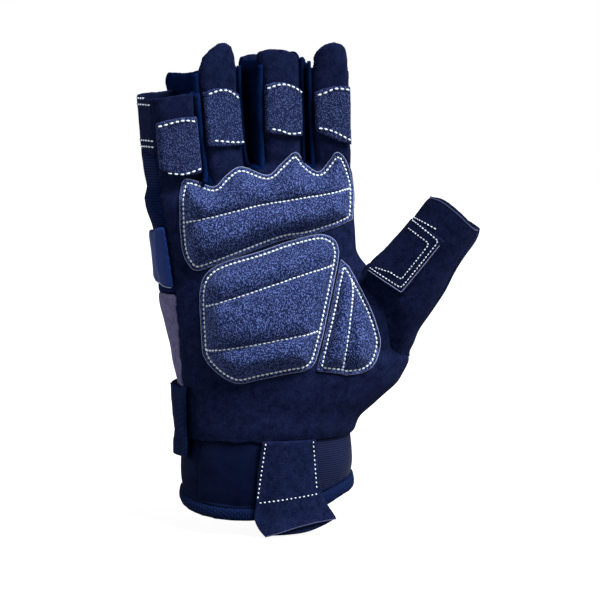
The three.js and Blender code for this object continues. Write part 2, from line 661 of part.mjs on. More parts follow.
// The part of the cuff between two seams, in degrees from the thumb side round by the palm.
function cuffSector(from, to) {
  const arm = (degrees) => {
    const angle = THREE.MathUtils.degToRad(degrees);
    return [2 * FAR * Math.cos(angle), -2 * FAR * Math.sin(angle)];
  };
  const between = [0.25, 0.5, 0.75].map((share) => arm(THREE.MathUtils.lerp(from, to, share)));
  const outline = outlineOf([[0, 0], arm(from), ...between, arm(to)]);
  return prism(grown(outline, -HALF_GAP), topPlace, -20, FAR);
}

function cuffPanels() {
  const inside = cuffForm(-CUFF.wall, -5, CUFF.top + 5);
  const cuff = cuffForm(0, BINDING.height / 2, CUFF.top).subtract(inside).subtract(cuffBinding(SEAM_GAP));
  const { ulnar, thumb, back } = CUFF_SEAMS;
  return {
    cuff_front: cuff.intersect(cuffSector(thumb, ulnar)),
    cuff_back: cuff.intersect(cuffSector(ulnar, back)),
    cuff_elastic: cuff.intersect(cuffSector(back - 360, thumb)),
  };
}

// The tape that binds the rim, a little thicker than the cuff.
function cuffBinding(grow) {
  const { height, wall: across, round } = BINDING;
  const [low, high] = [-grow, height + grow];
  const outer = (across - CUFF.wall) / 2 + grow;
  const inner = outer - across - 2 * grow;
  const section = [
    { out: outer, up: low + round },
    { out: outer, up: high - round },
    { out: outer - round, up: high },
    { out: inner + round, up: high },
    { out: inner, up: high - round },
    { out: inner, up: low + round },
    { out: inner + round, up: low },
    { out: outer - round, up: low },
  ];
  const rings = section.map(({ out, up }) =>
    turnedRing(CUFF_ROW, out - CUFF.hem, (x, y) => rimHeight(x, y) + up),
  );
  return band(rings[0].map((_, i) => rings.map((ring) => ring[i])));
}

const clearOfCuff = cuffForm(SEAM_GAP, BINDING.height, CUFF.top);

// The closing strap round the back of the wrist, and the tape on its end beside the palm.
function wristStrap() {
  const { bottom, top, tip, corner, rise, tape, end, join } = STRAP;
  const form = (grow) =>
    loft([
      turnedRing(CUFF_ROW, grow, () => bottom),
      turnedRing(CUFF_ROW, grow + 0.2, () => bottom + 6),
      turnedRing(rowAt(HAND, 37), grow - 0.2, () => 37),
      turnedRing(rowAt(HAND, 44), grow + 0.3, () => 44),
      turnedRing(rowAt(HAND, 52), grow + 0.2, () => 52),
      turnedRing(rowAt(HAND, top), grow - 0.4, () => top),
    ]);
  const tongue = new THREE.Shape();
  tongue.moveTo(-FAR, bottom);
  tongue.absarc(tip - corner, bottom + corner, corner, -Math.PI / 2, 0);
  tongue.absarc(tip - corner, top - corner, corner, 0, Math.PI / 2);
  tongue.lineTo(-FAR, top);
  const behind = prism(tongue.getPoints(5), frontPlace, join + SEAM_GAP, FAR);
  const tapeEnd = outlineOf([[-FAR, bottom], [end, bottom], [end, top], [-FAR, top]]);
  const beside = prism(tapeEnd, frontPlace, -FAR, join);
  const fitted = (grow, region) => form(grow).intersect(region).subtract(clearOfHand).subtract(clearOfCuff);
  return { wrist_strap: fitted(rise, behind), strap_binding: fitted(rise + tape, beside) };
}

// The pull tab lies on the cuff, hangs past the rim and folds up behind itself.
function pullTab() {
  const front = turnedRing(CUFF_ROW, 0).filter((p) => p.y < 0).sort((a, b) => a.x - b.x);
  const cuffY = (x) => {
    const next = front.findIndex((p) => p.x > x);
    const [a, b] = [front[next - 1], front[next]];
    return THREE.MathUtils.mapLinear(x, a.x, b.x, a.y, b.y);
  };
  const { lerp } = THREE.MathUtils;
  const row = ({ left, leftZ, right, rightZ }, out, rise) =>
    [0, 0.2, 0.4, 0.6, 0.8, 1].map((share) => {
      const x = lerp(left, right, share);
      return new THREE.Vector3(x, cuffY(x) - out, lerp(leftZ, rightZ, share) + rise);
    });
  const outer = TAB.map((edges) => row(edges, edges.out + TAB_LEAF, 0));
  const inner = TAB.map((edges) => row(edges, edges.out, 0));
  const end = TAB.at(-1);
  const { radius, steps, rise } = TAB_FOLD;
  const fold = (reach, angle, up) =>
    row(end, end.out - radius + reach * Math.cos(angle), up - reach * Math.sin(angle));
  for (let s = 1; s <= steps; s++) {
    outer.push(fold(radius + TAB_LEAF, (Math.PI * s) / steps, 0));
    inner.push(fold(radius, (Math.PI * s) / steps, 0));
  }
  outer.push(fold(radius + TAB_LEAF, Math.PI, rise));
  inner.push(fold(radius, Math.PI, rise));
  return wall(outer, inner);
}

// The parts, with their colours

const NAVY_SUEDE = { color: 0x141a33, roughness: 0.95 };
const GREY_SUEDE = { color: 0x3a4462, roughness: 0.95 };
const SMOOTH_NAVY = { color: 0x141b3d, roughness: 0.45 };
const STRETCH = { color: 0x10182f, roughness: 0.8 };
const GRAINED = { color: 0x2d4478, roughness: 0.85 };
const RUBBER = { color: 0x1c3059, roughness: 0.4 };
const TAPE = { color: 0x1a2a44, roughness: 0.8 };

const COLOURS = {
  palm_panel: NAVY_SUEDE,
  thumb_front: NAVY_SUEDE,
  thumb_back: STRETCH,
  suede_back: GREY_SUEDE,
  stretch_back: STRETCH,
  pinky_back: GREY_SUEDE,
  ring_back: GREY_SUEDE,
  middle_back: GREY_SUEDE,
  index_back: GREY_SUEDE,
  cuff_front: SMOOTH_NAVY,
  cuff_back: SMOOTH_NAVY,
  cuff_elastic: STRETCH,
  wrist_strap: SMOOTH_NAVY,
  strap_binding: TAPE,
  cuff_binding: TAPE,
  side_guard: RUBBER,
  thumb_patch: NAVY_SUEDE,
  pull_tab: NAVY_SUEDE,
};

const largestBody = (solid) => solid.decompose().sort((a, b) => b.volume() - a.volume())[0];

const glove = new THREE.Group();
function add(name, solid, { color, roughness }) {
  const material = new THREE.MeshStandardMaterial({ color, roughness, metalness: 0 });
  const mesh = new THREE.Mesh(geometryOf(largestBody(solid)), material);
  mesh.name = name;
  glove.add(mesh);
}

const sewn = { ...handPanels(), ...cuffPanels(), ...wristStrap() };
for (const [name, solid] of Object.entries(sewn)) add(name, solid, COLOURS[name] ?? SMOOTH_NAVY);
for (const [name, rails] of Object.entries(PADS)) add(name, pad(rails), GRAINED);
for (const finger of FINGERS) add(`${finger.name}_patch`, fingerPatch(finger), GRAINED);
add("thumb_patch", thumbPatch(), NAVY_SUEDE);
add("side_guard", sideGuard(), RUBBER);
add("cuff_binding", cuffBinding(0), TAPE);
add("pull_tab", pullTab(), NAVY_SUEDE);

export default glove;
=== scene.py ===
"""The looks of a right-hand fingerless training glove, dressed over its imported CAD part.

Sizes are in millimetres in the CAD frame: +Z to the fingertips, -Y out of the palm, +X to the thumb.
"""

import math

import bmesh
import bpy
import numpy as np
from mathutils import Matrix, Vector
from mathutils.bvhtree import BVHTree
from mathutils.kdtree import KDTree


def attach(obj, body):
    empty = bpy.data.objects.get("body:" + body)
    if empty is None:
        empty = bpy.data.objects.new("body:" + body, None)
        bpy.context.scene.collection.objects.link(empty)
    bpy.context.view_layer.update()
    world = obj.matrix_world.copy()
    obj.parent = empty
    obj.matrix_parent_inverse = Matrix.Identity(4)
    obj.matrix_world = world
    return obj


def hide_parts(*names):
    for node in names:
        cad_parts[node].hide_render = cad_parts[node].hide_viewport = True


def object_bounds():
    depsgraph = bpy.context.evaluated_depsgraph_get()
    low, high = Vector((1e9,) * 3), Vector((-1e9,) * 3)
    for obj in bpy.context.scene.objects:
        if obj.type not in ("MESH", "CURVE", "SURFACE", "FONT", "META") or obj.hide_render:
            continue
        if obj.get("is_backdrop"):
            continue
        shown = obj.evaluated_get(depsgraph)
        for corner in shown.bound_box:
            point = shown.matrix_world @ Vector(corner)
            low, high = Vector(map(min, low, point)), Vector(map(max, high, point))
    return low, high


MM = 0.001

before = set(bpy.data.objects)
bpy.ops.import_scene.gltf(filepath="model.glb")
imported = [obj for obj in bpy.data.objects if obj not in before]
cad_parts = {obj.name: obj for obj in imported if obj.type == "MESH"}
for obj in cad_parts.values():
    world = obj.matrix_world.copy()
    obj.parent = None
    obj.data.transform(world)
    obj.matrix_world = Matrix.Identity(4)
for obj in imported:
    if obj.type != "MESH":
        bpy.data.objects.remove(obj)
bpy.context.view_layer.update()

# Camera of the photograph, the floor below the glove, and the light.
EYE = (15.6, -800, 180)
AIM = (15.6, 0, 95.5)
LENS = 105.4
FLOOR_DROP = 0.6
FLOOR_GLOW = 0.92
FLOOR_GREY = (0.2, 0.2, 0.2, 1)
WHITE = (1, 1, 1, 1)
SURROUND = 0.11
SUN = {"power": 7.2, "angle": 26, "towards": (-0.62, 0.42, -1.0)}
LAMPS = {
    "left_fill": {"place": (-700, -600, 250), "size": 0.5, "power": 1.2},
    "left_rim": {"place": (-900, 50, 350), "size": 0.4, "power": 3},
    "right_rim": {"place": (900, 50, 250), "size": 0.4, "power": 4},
}
LAMP_AIM = (10, 0, 100)

# Fingers and thumb as in the part: axis from root to rim, size of the tube and turn about its axis.
FINGERS = {
    "pinky": {"root": (-40.9, -10.5, 150), "rim": (-43.8, -23.5, 188.5), "width": 21.5, "depth": 23,
              "turn": 24},
    "ring": {"root": (-22.9, -3, 152), "rim": (-28, -8, 200), "width": 20.5, "depth": 28, "turn": 31},
    "middle": {"root": (2.7, 5, 158), "rim": (1.5, -2, 205), "width": 20.5, "depth": 28.5, "turn": 26},
    "index": {"root": (28.1, 12, 158), "rim": (26.3, 5, 200), "width": 19, "depth": 28, "turn": 14},
    "thumb": {"root": (48, 0, 79), "rim": (84.8, -12, 135.6), "width": 26, "depth": 26, "turn": -8},
}
# The caps on the fingers' backs: their length, the angles that their stitches run between, how those
# slope at the rim and at the lower end, and how far they stand below the one and above the other.
CAP = 25
CAPS = {
    "pinky": {"angles": (128, 325), "rim_slope": 0.4, "end_slope": 0.27},
    "ring": {"angles": (232, 322), "rim_slope": 0.1, "end_slope": 0.1},
    "middle": {"angles": (218, 322), "rim_slope": 0.1, "end_slope": 0.1},
    "index": {"angles": (52, -145), "rim_slope": 0.1, "end_slope": 0.1},
}
CAP_BELOW_RIM = (1.1, 3.8)
CAP_ABOVE_END = (5.9, 3.2)
# The walls between the fingers, and how far they swell.
GUSSETS = {
    f"gusset_{one}_{other}": (FINGERS[one], FINGERS[other])
    for one, other in [("pinky", "ring"), ("ring", "middle"), ("middle", "index")]
}
GUSSET_BULGE = 2.4
# Folded welts beside the palm strips: the finger, its side, the stretch of its length and the radius.
WELTS = [
    ("pinky", 1, 8, 41, 1.6),
    ("ring", -1, 4, 48, 1.2),
    ("ring", 1, 7, 48.5, 1.0),
    ("middle", -1, 0, 46, 1.5),
    ("middle", 1, 0, 46.5, 0.9),
    ("index", -1, 2, 47, 0.9),
]
# How far a welt lies beside and behind the strip's edge, and how it curls away at its root.
WELT = {"out": 0.4, "behind": 2.6, "curl": 4, "curl_out": 1.6, "curl_up": 1.4}

# Local shifts that bring the dressed outline onto the photograph's: where, how wide, how far, and a
# part of the names of the pieces that they are for.
NUDGES = [
    ((-17, -20, 205), 14, (2.1, 0, 0.6), ""),
    ((28, -10, 207), 12, (0.3, 0, 0.8), ""),
    ((5, -18, 208), 14, (0, 0, 0.9), ""),
    ((-54, -18, 186), 13, (-0.3, 0, 2.7), ""),
    ((-40, -3, 192), 9, (-3.4, 0, 1.6), ""),
    ((-6, 6, 205), 8, (0, 0, 3.4), ""),
    ((20, 5, 200), 10, (0, 0, 8), ""),
    ((82, -6, 100), 20, (1.1, 0, -0.5), ""),
    ((63, 0, 74), 9, (2.3, 0, -0.7), ""),
    ((90, -12, 137), 12, (1.7, 0, 1.3), ""),
    ((72, -12, 146), 9, (0, 0, 0.9), ""),
    ((54, 0, 62), 14, (1.1, 0, -1.2), ""),
    ((40, 0, 43), 6, (-1.5, 0, 0), ""),
    ((-5, -22, -2), 26, (0, 0, -0.9), ""),
    ((-53, -12, 131), 6, (2.2, 0, -2.6), "side_guard"),
    ((-51, -12, 103), 6, (1.6, 0, 1.8), "side_guard"),
    ((-42, -16, 62), 6, (3.2, 0, -2.2), "strap"),
    ((92, 0, 124), 9, (3.6, 0, -1), "thumb_back"),
    ((83.5, -25, 133.5), 10, (1.6, -0.3, 2.3), ""),
    ((76.5, -22, 139), 7, (0.9, 0, 2.4), ""),
    ((84, -4, 104), 22, (0.5, 0, -0.3), "thumb_back"),
    ((57, -8, 125), 12, (0.9, 0, -0.6), ""),
    ((36, -2, 10), 9, (0.6, 0, -2), ""),
    ((38, 0, 30), 12, (0.6, 0, 0), ""),
    ((40, 0, 139), 14, (1.1, 0, 0), ""),
    ((38, 2, 173), 10, (-0.5, 0, 0), ""),
    ((-55, -14, 160), 22, (-0.9, 0, 0), ""),
    ((-47, -5, 93), 14, (-0.9, 0, 0), ""),
    ((-41, 0, 66), 8, (-0.7, 0, 0), ""),
    ((-37, 0, 33), 6, (0.9, 0, 0), ""),
    ((-2, -16, 206), 6, (-3.4, 0, 0), "palm_panel"),
    ((30, -18, 3), 8, (0, 0, -1.7), "cuff"),
    ((-54, -8, 138), 9, (-1, 0, 0), ""),
    ((-50, -6, 100), 7, (-0.8, 0, 0), ""),
    ((-41, -16, 31), 5, (2.4, 0, 1.8), "strap"),
]

# Rails of the quilted pads, from the fingers' end to the wrist's, or from the palm to the thumb.
PADS = {
    "upper_palm_pad": [
        [(-37.4, 143.5), (-36.2, 149.6), (-34.1, 151.5), (-29, 150), (-22.3, 147.8), (-17, 153),
         (-10.5, 156.6), (1, 152.8), (7, 157.6), (13.6, 163), (18, 157.6), (24, 154), (28.6, 158.6),
         (32.4, 162.9), (36.4, 159), (39.3, 148.6)],
        [(-37.4, 132), (-21.1, 135.3), (-2.5, 139.7), (12.4, 142), (27.2, 144.2), (39.4, 146.9)],
        [(-37.4, 130.5), (-36.4, 119.8), (-33.6, 113.6), (-30, 111.2), (-22.5, 113.5), (-2.5, 120.9),
         (8.7, 124.5), (19.7, 126), (30.9, 129.3), (38.6, 132.6)],
    ],
    "lower_palm_pad": [
        [(-28.8, 101), (-27.4, 107.1), (-23.3, 111.9), (-15.8, 115.3), (-2.5, 119), (10.9, 123.4),
         (22.8, 126), (28, 125.3), (31.6, 122.7), (33, 118.2)],
        [(-28.8, 94.5), (-2.5, 102.7), (16.1, 108.6), (32.4, 113)],
        [(-27.8, 75.3), (-9.9, 77.9), (8.7, 81.2), (26.2, 84.4)],
        [(-27.6, 74), (-25.5, 70), (-21.1, 65.6), (-15.8, 62.2), (-10.7, 61.1), (-2.5, 63), (10.9, 65.6),
         (17.5, 66.7), (21.2, 68.9), (23.1, 73), (25.7, 82.2)],
    ],
    "thumb_base_pad": [
        [(34.2, 114.6), (29.3, 92), (23.3, 66.6)],
        [(35.8, 113), (39.2, 103), (37.7, 86.2), (34.4, 65)],
        [(37.2, 112), (39.9, 107.4), (46.3, 95.2), (50.1, 85.1), (51.5, 77.5), (48.9, 69), (43.8, 65.2),
         (36, 64.3)],
    ],
}
# The pads' profile: height of the rim, depth of the stitched line inside it, height and width of the
# swell, how deep the channels' seams pull in, and how far the pad reaches into the palm.
PAD = {"edge": 1.0, "stitch_in": 1.7, "crown": 4.5, "round": 8.5, "seam": 0.8, "buried": 0.6}
PAD_STEP = 0.75
PAD_COLUMNS = 110
# Grooves that the thread pulls, along the rim and along the channels: depth and width.
RIM_GROOVE = (0.45, 0.6)
SEAM_GROOVE = (0.35, 0.7)
# How far each pad swells in one dome over all its channels, and where along its height that is most.
DOMES = {
    "upper_palm_pad": {"height": 3.6, "peak": 0.5},
    "lower_palm_pad": {"height": 5.4, "peak": 0.4},
    "thumb_base_pad": {"height": 3.8, "peak": 0.45},
}

# Stitch rows on the finger patches, across the finger and along it from its root.
PATCH_ROWS = {
    "pinky": [[(-10.4, 31.2), (1.6, 32), (8.4, 30.1)],
              [(-10.5, 12.8), (-8.5, 10.7), (0, 7.6), (10.4, 8.3)]],
    "ring": [[(-7.3, 38.5), (-3.9, 39.2), (-0.5, 39.5), (3.9, 38), (8.1, 34.5)],
             [(-6.6, 18.2), (3.8, 15.8), (9.4, 15.2)]],
    "middle": [[(-8.8, 36.1), (-3, 37.4), (1.3, 37), (6, 34.8), (8.9, 32.3)],
               [(-7.2, 18.3), (-1.7, 16.9), (1.6, 15.2), (8, 15.2)]],
    "index": [[(-9.1, 33.3), (-3.7, 34.4), (0.8, 36.1), (7.9, 34.9)],
              [(-8.4, 19.2), (-2.6, 17.9), (3, 15), (7.9, 11.9)]],
}
# Stitches on the thumb's patch and above it, and the patch's raw edge.
THUMB_ROWS = [
    [(65.3, 133.2), (76.3, 123.6), (60.4, 103.2), (46.3, 112)],
    [(63.5, 129.8), (72.6, 122.8), (60.4, 107), (55.6, 110.2), (48.8, 112)],
]
THUMB_HEM_ROW = [(65.6, 134.6), (75.2, 128.2)]
THUMB_EDGE = [(76.8, 121.8), (60.5, 101.3), (45.2, 111.2)]
# The pale line painted round the thumb's rim as its highlight: how far below the rim, and the angles that
# it runs between.
THUMB_RIM_HIGHLIGHT = {"below": 0.9, "angles": (10, 165)}

# The pull tab: rows down its leaf, with the place of each edge and how far it stands off the cuff.
TAB = [
    {"left": (-1.2, 34.7), "right": (22.8, 34.7), "out": 0.2},
    {"left": (-3.4, 20), "right": (24, 21), "out": 0.4},
    {"left": (-4, 7.8), "right": (25.4, 11), "out": 0.7},
    {"left": (-4.9, 1.5), "right": (28, 4.6), "out": 1.4},
    {"left": (-3, -3.4), "right": (30.2, 1), "out": 2.2},
    {"left": (0, -7.1), "right": (32, -2.2), "out": 2.8},
]
# Its two leaves: how far back each one lies and how far it bows up at its foot, their thickness, and
# the steps of their mesh.
TAB_LEAVES = {"front": {"behind": 0, "bow": 1.3}, "under": {"behind": 1.4, "bow": -2.3}}
TAB_LEAF = {"thick": 1.1, "rows": 50, "columns": 40}
# The lines of its stitches.
TAB_ROWS = [[(0.5, 35.5), (-3.4, 9.3)], [(-3.1, 7.8), (23.7, 10.2)], [(21.3, 36.6), (23.1, 12.3)]]

# Where lines along the side guard and the cuff are taken: from, to and how many, or the step.
GUARD_LEVELS = (129.4, 106, 7)
GUARD_PLACES = (-50, -42.5, 4)
CUFF_CENTRE = (2, 2)
CUFF_STEP = 4

# Kinds of stitches: how far apart, how much of that the thread covers, and how thick.
STITCHES = {
    "pad": {"pitch": 2.0, "share": 0.78, "width": 1.0},
    "patch": {"pitch": 2.6, "share": 0.66, "width": 0.85},
    "thumb": {"pitch": 1.6, "share": 0.66, "width": 0.5},
    "cap": {"pitch": 3.0, "share": 0.66, "width": 0.75},
    "tab": {"pitch": 2.0, "share": 0.45, "width": 0.6},
}
# The form of one stitch: rings and sides of its mesh, girth at its ends, flatness, how far it stands
# off the cloth in its middle, and how much less at its ends.
STITCH = {"rings": 5, "sides": 6, "tip": 0.35, "flat": 0.75, "lift": 0.2, "sink": 0.18}
CORD_SIDES = 8

# Folds pressed into the hand's skin: a line over the palm, how deep and how wide.
CREASES = [
    {"line": [(-36, 68), (-26, 63), (-11, 58.5)], "depth": 1.3, "width": 2.8},
    {"line": [(45, 106), (54, 92), (58, 78)], "depth": 0.8, "width": 3},
    {"line": [(-6, 49), (14, 46.5), (30, 48)], "depth": 0.5, "width": 4},
    {"line": [(30, 56), (46, 60), (56, 66)], "depth": 0.6, "width": 3.4},
]

# The deep hollow between the base pad and the thumb, for the panels that it crosses.
HOLLOW = {"line": [(45, 110), (51, 100), (55.5, 88), (57, 76)], "depth": 2.2, "width": 4.5}

# How a panel follows the skin: how far it looks and moves, how even it must lie, and the seams' form.
PANEL = {
    "voxel": 0.8, "reach": 1.6, "facing": 0.7, "limit": 0.9, "valley_width": 2.2, "neighbour": 1.4,
    "rim": 1.5, "hem_drop": 3.4, "hem_blend": 8,
}
RIM_SMOOTHING = 9 * (0.5, -0.48)
# How deep the valleys beside the seams are, and how far each seam edge spreads to its neighbours.
VALLEY = 0.4
VALLEYS = {"thumb_front": 0.1}
SPREAD = 0.6
SPREADS = {
    "thumb_front": 1.4, "palm_panel": 0.9, "thumb_back": 0.9, "suede_back": 1.1, "stretch_back": 1.1,
}
CUFF_SEAMS = {"valley": 0.2, "spread": 0.8, "hem": 10}
NO_HEM = -50

HAND_NODES = ["palm_panel", "stretch_back", "suede_back"]
HAND_NODES += [name + "_back" for name in CAPS] + list(GUSSETS) + ["thumb_front", "thumb_back"]
CUFF_NODES = ["cuff_front", "cuff_back", "cuff_elastic"]

# Where the fingers and the thumb begin, and how softly the smoothing changes there.
FINGERS_FROM = 140
THUMB_FROM = 50
SMOOTHING_CHANGE = 14

# A place in front of the palm and one outside every finger, from which lines are laid on the glove,
# and the step of such lines.
IN_FRONT = -130
OUT_OF_FINGER = 40
RUN_STEP = 0.5


# Mesh tools


def points_of(mesh):
    flat = np.empty(len(mesh.vertices) * 3)
    mesh.vertices.foreach_get("co", flat)
    return flat.reshape(-1, 3) / MM


def set_points(mesh, points):
    mesh.vertices.foreach_set("co", (points * MM).ravel())
    mesh.update()


def normals_of(mesh):
    flat = np.empty(len(mesh.vertices) * 3)
    mesh.vertex_normals.foreach_get("vector", flat)
    return flat.reshape(-1, 3)


def edges_of(mesh):
    flat = np.empty(len(mesh.edges) * 2, int)
    mesh.edges.foreach_get("vertices", flat)
    return flat.reshape(-1, 2)


def placed(name, data):
    """A new object in the scene with this mesh, camera or light."""
    thing = bpy.data.objects.new(name, data)
    bpy.context.scene.collection.objects.link(thing)
    return thing


def neighbour_mean(values, pairs):
    """The mean of each point's neighbours, for values with one row a point."""
    count = len(values)
    share = np.maximum(np.bincount(pairs.ravel(), minlength=count), 1)
    total = np.empty_like(values)
    for k in range(values.shape[1]):
        there = np.bincount(pairs[:, 0], values[pairs[:, 1], k], count)
        total[:, k] = there + np.bincount(pairs[:, 1], values[pairs[:, 0], k], count)
    return total / share[:, None]


def remeshed(names, voxel):
    """An even mesh of these CAD nodes together."""
    joined = bmesh.new()
    for name in names:
        joined.from_mesh(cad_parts[name].data)
    bmesh.ops.remove_doubles(joined, verts=joined.verts, dist=0.001 * MM)
    mesh = bpy.data.meshes.new("form")
    joined.to_mesh(mesh)
    joined.free()
    probe = placed("probe", mesh)
    modifier = probe.modifiers.new("even", "REMESH")
    modifier.mode = "VOXEL"
    modifier.voxel_size = voxel * MM
    depsgraph = bpy.context.evaluated_depsgraph_get()
    even = bpy.data.meshes.new_from_object(probe.evaluated_get(depsgraph))
    bpy.data.objects.remove(probe)
    return even


def tree_of(mesh):
    """A search tree of a mesh, in millimetres."""
    faces = [tuple(polygon.vertices) for polygon in mesh.polygons]
    return BVHTree.FromPolygons([tuple(p) for p in points_of(mesh)], faces)


made = []


def new_piece(name, mesh, material, slot, *nodes):
    mesh.name = name
    mesh.materials.clear()
    mesh.materials.append(material)
    mesh.polygons.foreach_set("use_smooth", [True] * len(mesh.polygons))
    piece = placed(name, mesh)
    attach(piece, "root")
    if nodes:
        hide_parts(*nodes)
    made.append(piece)
    return piece


def nudged(name, points):
    """A piece's points with the local shifts of the outline."""
    moved = np.array(points)
    for at, reach, move, part in NUDGES:
        if part in name:
            gap = np.linalg.norm(points - at, axis=1)
            moved += np.exp(-((gap / reach) ** 2))[:, None] * move
    return moved


def mesh_from(points, faces):
    mesh = bpy.data.meshes.new("piece")
    mesh.from_pydata([tuple(np.array(p) * MM) for p in points], [], faces)
    mesh.update()
    return mesh


def distance_to(points, line):
    """How far each point of a plane lies from a line of straight stretches."""
    line = np.array(line, float)
    nearest = np.full(len(points), np.inf)
    for a, b in zip(line[:-1], line[1:]):
        along = b - a
        share = np.clip((points - a) @ along / max(along @ along, 1e-9), 0, 1)
        nearest = np.minimum(nearest, np.linalg.norm(points - a - share[:, None] * along, axis=1))
    return nearest


def reach_along(line):
    """How far along a line each of its points lies."""
    return np.concatenate([[0], np.cumsum(np.linalg.norm(np.diff(line, axis=0), axis=1))])


def resampled(line, count):
    """A line's points at an even step, as many stretches as asked, ends included."""
    line = np.array(line, float)
    far = reach_along(line)
    at = np.linspace(0, far[-1], count + 1)
    return np.column_stack([np.interp(at, far, line[:, k]) for k in range(line.shape[1])])


def spaced(line, step):
    """A line's points at an even step of about this length, ends included."""
    return resampled(line, max(int(round(reach_along(np.array(line, float))[-1] / step)), 1))


def curve_through(points, count=60):
    """A smooth curve through points, as many short straight stretches."""
    points = np.array(points, float)
    if len(points) < 3:
        return spaced(points, np.linalg.norm(points[-1] - points[0]) / count)
    padded = np.vstack([2 * points[0] - points[1], points, 2 * points[-1] - points[-2]])
    curve = []
    per = max(count // (len(points) - 1), 4)
    for i in range(1, len(padded) - 2):
        a, b, c, d = padded[i - 1:i + 3]
        for t in np.arange(per) / per:
            curve.append(0.5 * (2 * b + (c - a) * t + (2 * a - 5 * b + 4 * c - d) * t**2
                                + (3 * b - a - 3 * c + d) * t**3))
    curve.append(points[-1])
    return np.array(curve)


# The skin that the sewn panels lie on


def ripple(points):
    """Soft unevenness of worn cloth, in millimetres."""
    x, y, z = points.T
    waves = np.sin(0.31 * x + 0.12 * z + 0.5) * np.sin(0.23 * z - 0.09 * x)
    return 0.16 * waves + 0.1 * np.sin(0.52 * x - 0.37 * z + 0.3 * y)


def skin_of(names, voxel, rounds, looseness, creases=()):
    """A smoothed copy of several nodes' common surface, as a search tree."""
    mesh = remeshed(names, voxel)
    points = points_of(mesh)
    pairs = edges_of(mesh)
    share = 0.5 * looseness(points)[:, None]
    for _ in range(rounds):
        points = points + share * (neighbour_mean(points, pairs) - points)
    set_points(mesh, points)
    normals = normals_of(mesh)
    lift = 0.2 * looseness(points) + ripple(points)
    palm = np.clip(-normals[:, 1] * 2, 0, 1)
    for crease in creases:
        gap = distance_to(points[:, [0, 2]], crease["line"])
        lift -= palm * crease["depth"] * np.exp(-((gap / crease["width"]) ** 2))
    set_points(mesh, points + normals * lift[:, None])
    return tree_of(mesh)


def hand_looseness(points):
    """1 where the hand is smoothed most, less on the thumb and least on the fingers."""
    fingers = np.clip((points[:, 2] - FINGERS_FROM) / SMOOTHING_CHANGE, 0, 1)
    thumb = np.clip((points[:, 0] - THUMB_FROM) / SMOOTHING_CHANGE, 0, 1)
    return (1 - 0.85 * fingers) * (1 - 0.6 * thumb)


def even_looseness(points):
    return np.ones(len(points))


def gusset_bulge(points, normals, fingers):
    """How far the loose walls between two fingers swell outwards, most in the middle of their depth."""
    nearest, swell = np.full(len(points), np.inf), np.zeros(len(points))
    for finger in fingers:
        root, _, along, palmward, _ = finger_axes(finger)
        out = points - root
        deep = np.abs(out @ palmward) / (finger["depth"] / 2)
        out -= (out @ along)[:, None] * along
        gap = np.linalg.norm(out, axis=1)
        closer = gap < nearest
        nearest[closer] = gap[closer]
        facing = (normals * out).sum(axis=1) / np.maximum(gap, 1e-6)
        swell[closer] = (np.abs(facing) * np.clip(1 - deep**2, 0, 1) * np.sign(facing))[closer]
    return GUSSET_BULGE * swell


def drawn_onto(skin, points, normals):
    """Which points lie near the skin and face as it does, and how far each of those moves to it."""
    near = np.zeros(len(points), bool)
    move = np.zeros_like(points)
    limit = PANEL["limit"]
    for i, (point, normal) in enumerate(zip(points, normals)):
        place, facing, _, _ = skin.find_nearest(Vector(point), PANEL["reach"])
        if place is not None and facing.dot(Vector(normal)) >= PANEL["facing"]:
            near[i] = True
            move[i] = normal * np.clip((np.array(place) - point) @ normal, -limit, limit)
    return near, move


def gap_to(rim, points):
    """How far each point lies from the nearest point of the rim."""
    tree = KDTree(len(rim))
    for i, point in enumerate(rim):
        tree.insert(point, i)
    tree.balance()
    return np.array([tree.find(point)[2] for point in points])


def beside_others(name, point):
    """Whether a point of this node lies beside another node."""
    others = [tree for other, tree in node_trees.items() if other != name]
    return any(tree.find_nearest(Vector(point), PANEL["neighbour"])[0] for tree in others)


def panel(name, skin, material, slot, valley, spread, hem=NO_HEM):
    """A sewn panel: its node's shape drawn onto the smooth skin, spread to meet its neighbours and
    pulled in along its seams. Below the level of the hem it reaches down into a binding."""
    mesh = remeshed([name], PANEL["voxel"])
    points, normals, pairs = points_of(mesh), normals_of(mesh), edges_of(mesh)
    near, move = drawn_onto(skin, points, normals)
    # The rim's points move as their neighbours do, and all sink in a valley beside the rim.
    for _ in range(12):
        move[~near] = neighbour_mean(move, pairs)[~near]
    gap = gap_to(points[~near], points)
    move -= normals * (valley * np.clip(1 - gap / PANEL["valley_width"], 0, 1) ** 2)[:, None]
    seam = np.array([not kept and beside_others(name, point) for kept, point in zip(near, points)])
    if name in ("palm_panel", "thumb_front"):
        away = distance_to(points[:, [0, 2]], HOLLOW["line"])
        move[:, 1] += HOLLOW["depth"] * np.exp(-((away / HOLLOW["width"]) ** 2))
    if name in GUSSETS:
        move += normals * gusset_bulge(points, normals, GUSSETS[name])[:, None]
    for _ in range(2):
        move = neighbour_mean(move, pairs)
    points = points + move
    for _ in range(2):
        points = points + 0.5 * (neighbour_mean(points, pairs) - points)
    points[seam] += spread * normals[seam]
    points[:, 2] -= PANEL["hem_drop"] * np.clip((hem - points[:, 2]) / PANEL["hem_blend"], 0, 1)
    edge = gap < PANEL["rim"]
    for share in RIM_SMOOTHING:
        points[edge] += share * (neighbour_mean(points, pairs) - points)[edge]
    set_points(mesh, points)
    return new_piece(name + "_cloth", mesh, material, slot, name)


